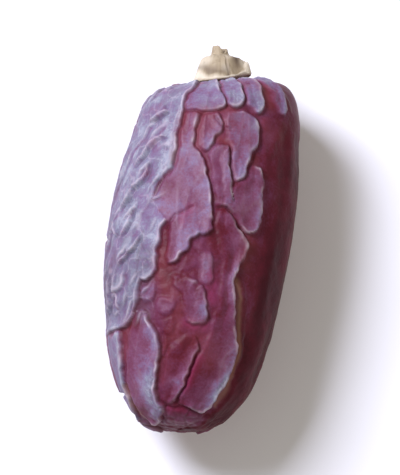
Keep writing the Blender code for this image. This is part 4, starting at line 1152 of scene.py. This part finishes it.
def dry_woody_calyx():
    """Dry woody plant tissue: dull, with fine fibres down it and brown age spots."""
    made, tree, shader = new_material("dry woody calyx")
    mask = {name: add_node(tree, "Attribute", {}, "Fac", attribute_name=name)
            for name in ("hollow", "seam", "lip", "fibre", "spot", "shine")}
    place = add_node(tree, "TexCoord", {}, "Object")
    down = add_node(tree, "Mapping", {"Vector": place, "Scale": FIBRE_STRETCH})
    grain = add_node(tree, "TexNoise", {
        "Vector": down, "Scale": 1.0 / (FIBRE_SIZE * MM), "Detail": 4.0,
        "Roughness": 0.55}, "Fac")
    spots = add_node(tree, "TexNoise", {
        "Vector": place, "Scale": 1.0 / (AGE_SPOT_SIZE * MM), "Detail": 3.0,
        "Roughness": 0.55}, "Fac")
    fibrous = add_node(tree, "Math", {0: mask["fibre"], 1: grain}, operation="ADD")
    half = add_node(tree, "Math", {0: fibrous, 1: 0.5}, operation="MULTIPLY")
    spots_and_seam_shade = add_node(tree, "Math", {0: spots, 1: 6.0, 2: -3.4}, operation="MULTIPLY_ADD",
                    use_clamp=True)
    spots_and_seam_shade = add_node(tree, "Math", {0: spots_and_seam_shade, 1: 0.5}, operation="MULTIPLY")
    # Real age spots, with painted shade from the seams and the groove above the rim.
    for name, strength in (("seam", 0.75), ("spot", 0.85)):
        share = add_node(tree, "Math", {0: mask[name], 1: strength}, operation="MULTIPLY")
        spots_and_seam_shade = add_node(tree, "Math", {0: spots_and_seam_shade, 1: share}, operation="MAXIMUM")
    colour = add_node(tree, "Mix", {0: half, 6: STRAW, 7: PALE_STRAW}, 2, data_type="RGBA")
    for coat, strength, shade in (
            (mask["shine"], 0.7, BRIGHT_STRAW), (spots_and_seam_shade, 1.0, BROWN_STRAW),
            (mask["hollow"], 0.85, BROWN_STRAW), (mask["lip"], 0.7, BRIGHT_STRAW)):
        share = add_node(tree, "Math", {0: coat, 1: strength}, operation="MULTIPLY")
        colour = add_node(tree, "Mix", {0: share, 6: colour, 7: shade}, 2, data_type="RGBA")
    bumps = add_node(tree, "Bump", {"Height": fibrous, "Strength": 0.5, "Distance": 0.08 * MM})
    feed(tree, shader, {"Base Color": colour, "Roughness": 0.72, "Normal": bumps})
    return made


calyx = mesh_piece("date_calyx", points, closed_grid_faces(CALYX_ROWS, CALYX_COLUMNS), masks,
                   dry_woody_calyx())
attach(calyx, "root")
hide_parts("calyx")
print("the calyx has", len(calyx.data.polygons), "faces")

# %% [markdown]
# The date lies on a plain pale floor. A soft cool light from the upper left rakes over the
# plates. A weak warm one and the world fill the shadows, so the right flank stays dark. A
# strong single lamp would be simpler, but its hard shadows would hide the wrinkles.

# %% Floor, light and world
FLOOR_SIZE = 6.0
KEY_PLACE, KEY_SIZE, KEY_WATTS = (-0.26, 0.14, 0.36), 0.18, 3.4
FILL_PLACE, FILL_SIZE, FILL_WATTS = (0.34, -0.1, 0.3), 0.3, 0.45
KEY_COLOUR, FILL_COLOUR, FLOOR_COLOUR = "#e6e9ff", "#fff4ea", "#f2f1f0"
WORLD_COLOUR, WORLD_STRENGTH = "#eeebe8", 0.36


def pale_floor():
    """A big flat sheet just under the date. Matt paper spreads light and shows no highlight."""
    mesh = bpy.data.meshes.new("floor")
    half = FLOOR_SIZE / 2
    corners = [(-half, -half, 0), (half, -half, 0), (half, half, 0), (-half, half, 0)]
    mesh.from_pydata(corners, [], [(0, 1, 2, 3)])
    made, tree, shader = new_material("matt white paper")
    feed(tree, shader, {"Base Color": FLOOR_COLOUR, "Roughness": 0.9})
    mesh.materials.append(made)
    floor = bpy.data.objects.new("floor", mesh)
    bpy.context.scene.collection.objects.link(floor)


def soft_light(name, place, size, watts, hex_colour, target):
    """A square area light that points at a target."""
    light = bpy.data.lights.new(name, "AREA")
    light.size = size
    light.energy = watts
    light.color = linear(hex_colour)[:3]
    lamp = bpy.data.objects.new(name, light)
    lamp.location = place
    lamp.rotation_euler = (target - lamp.location).to_track_quat("-Z", "Y").to_euler()
    bpy.context.scene.collection.objects.link(lamp)


low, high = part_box("fruit")
MIDDLE = (low + high) / 2
pale_floor()
soft_light("key", KEY_PLACE, KEY_SIZE, KEY_WATTS, KEY_COLOUR, MIDDLE)
soft_light("fill", FILL_PLACE, FILL_SIZE, FILL_WATTS, FILL_COLOUR, MIDDLE)
world = bpy.data.worlds.new("pale room")
world.use_nodes = True
feed(world.node_tree, world.node_tree.nodes["Background"],
     {"Color": WORLD_COLOUR, "Strength": WORLD_STRENGTH})
bpy.context.scene.world = world
bpy.context.scene.view_settings.view_transform = "Standard"
print("lit from", KEY_PLACE)

# %% [markdown]
# The photograph shows the date upright and this one lies down, so the camera looks down on
# it, at the same angle to its axis, and is rolled so that the date leans as it does there.
# It stands far off with a long lens, since a near one would widen the end next to it.

# %% Camera
ELEVATION, LEAN = math.radians(77.0), math.radians(5.3)
LENS, SENSOR = 400.0, 36.0
DATE_SHARE_OF_FRAME = 0.84


def look_down():
    """A camera on the -Y side, high up, whose frame's height holds the date and a margin."""
    data = bpy.data.cameras.new("camera")
    data.lens = LENS
    data.sensor_width = SENSOR
    camera = bpy.data.objects.new("camera", data)
    low, high = (np.array(corner) for corner in CAD_BOX)
    middle = (low + high) / 2
    distance = (high - low)[1] / DATE_SHARE_OF_FRAME * LENS / SENSOR
    away = np.array([0.0, -math.cos(ELEVATION), math.sin(ELEVATION)])
    camera.location = middle + away * distance
    camera.rotation_euler = (math.pi / 2 - ELEVATION, 0.0, 0.0)
    camera.rotation_mode = "XYZ"
    camera.rotation_euler.rotate_axis("Z", LEAN)
    bpy.context.scene.collection.objects.link(camera)
    bpy.context.scene.camera = camera
    print("the camera is", round(distance, 3), "m away")


look_down()
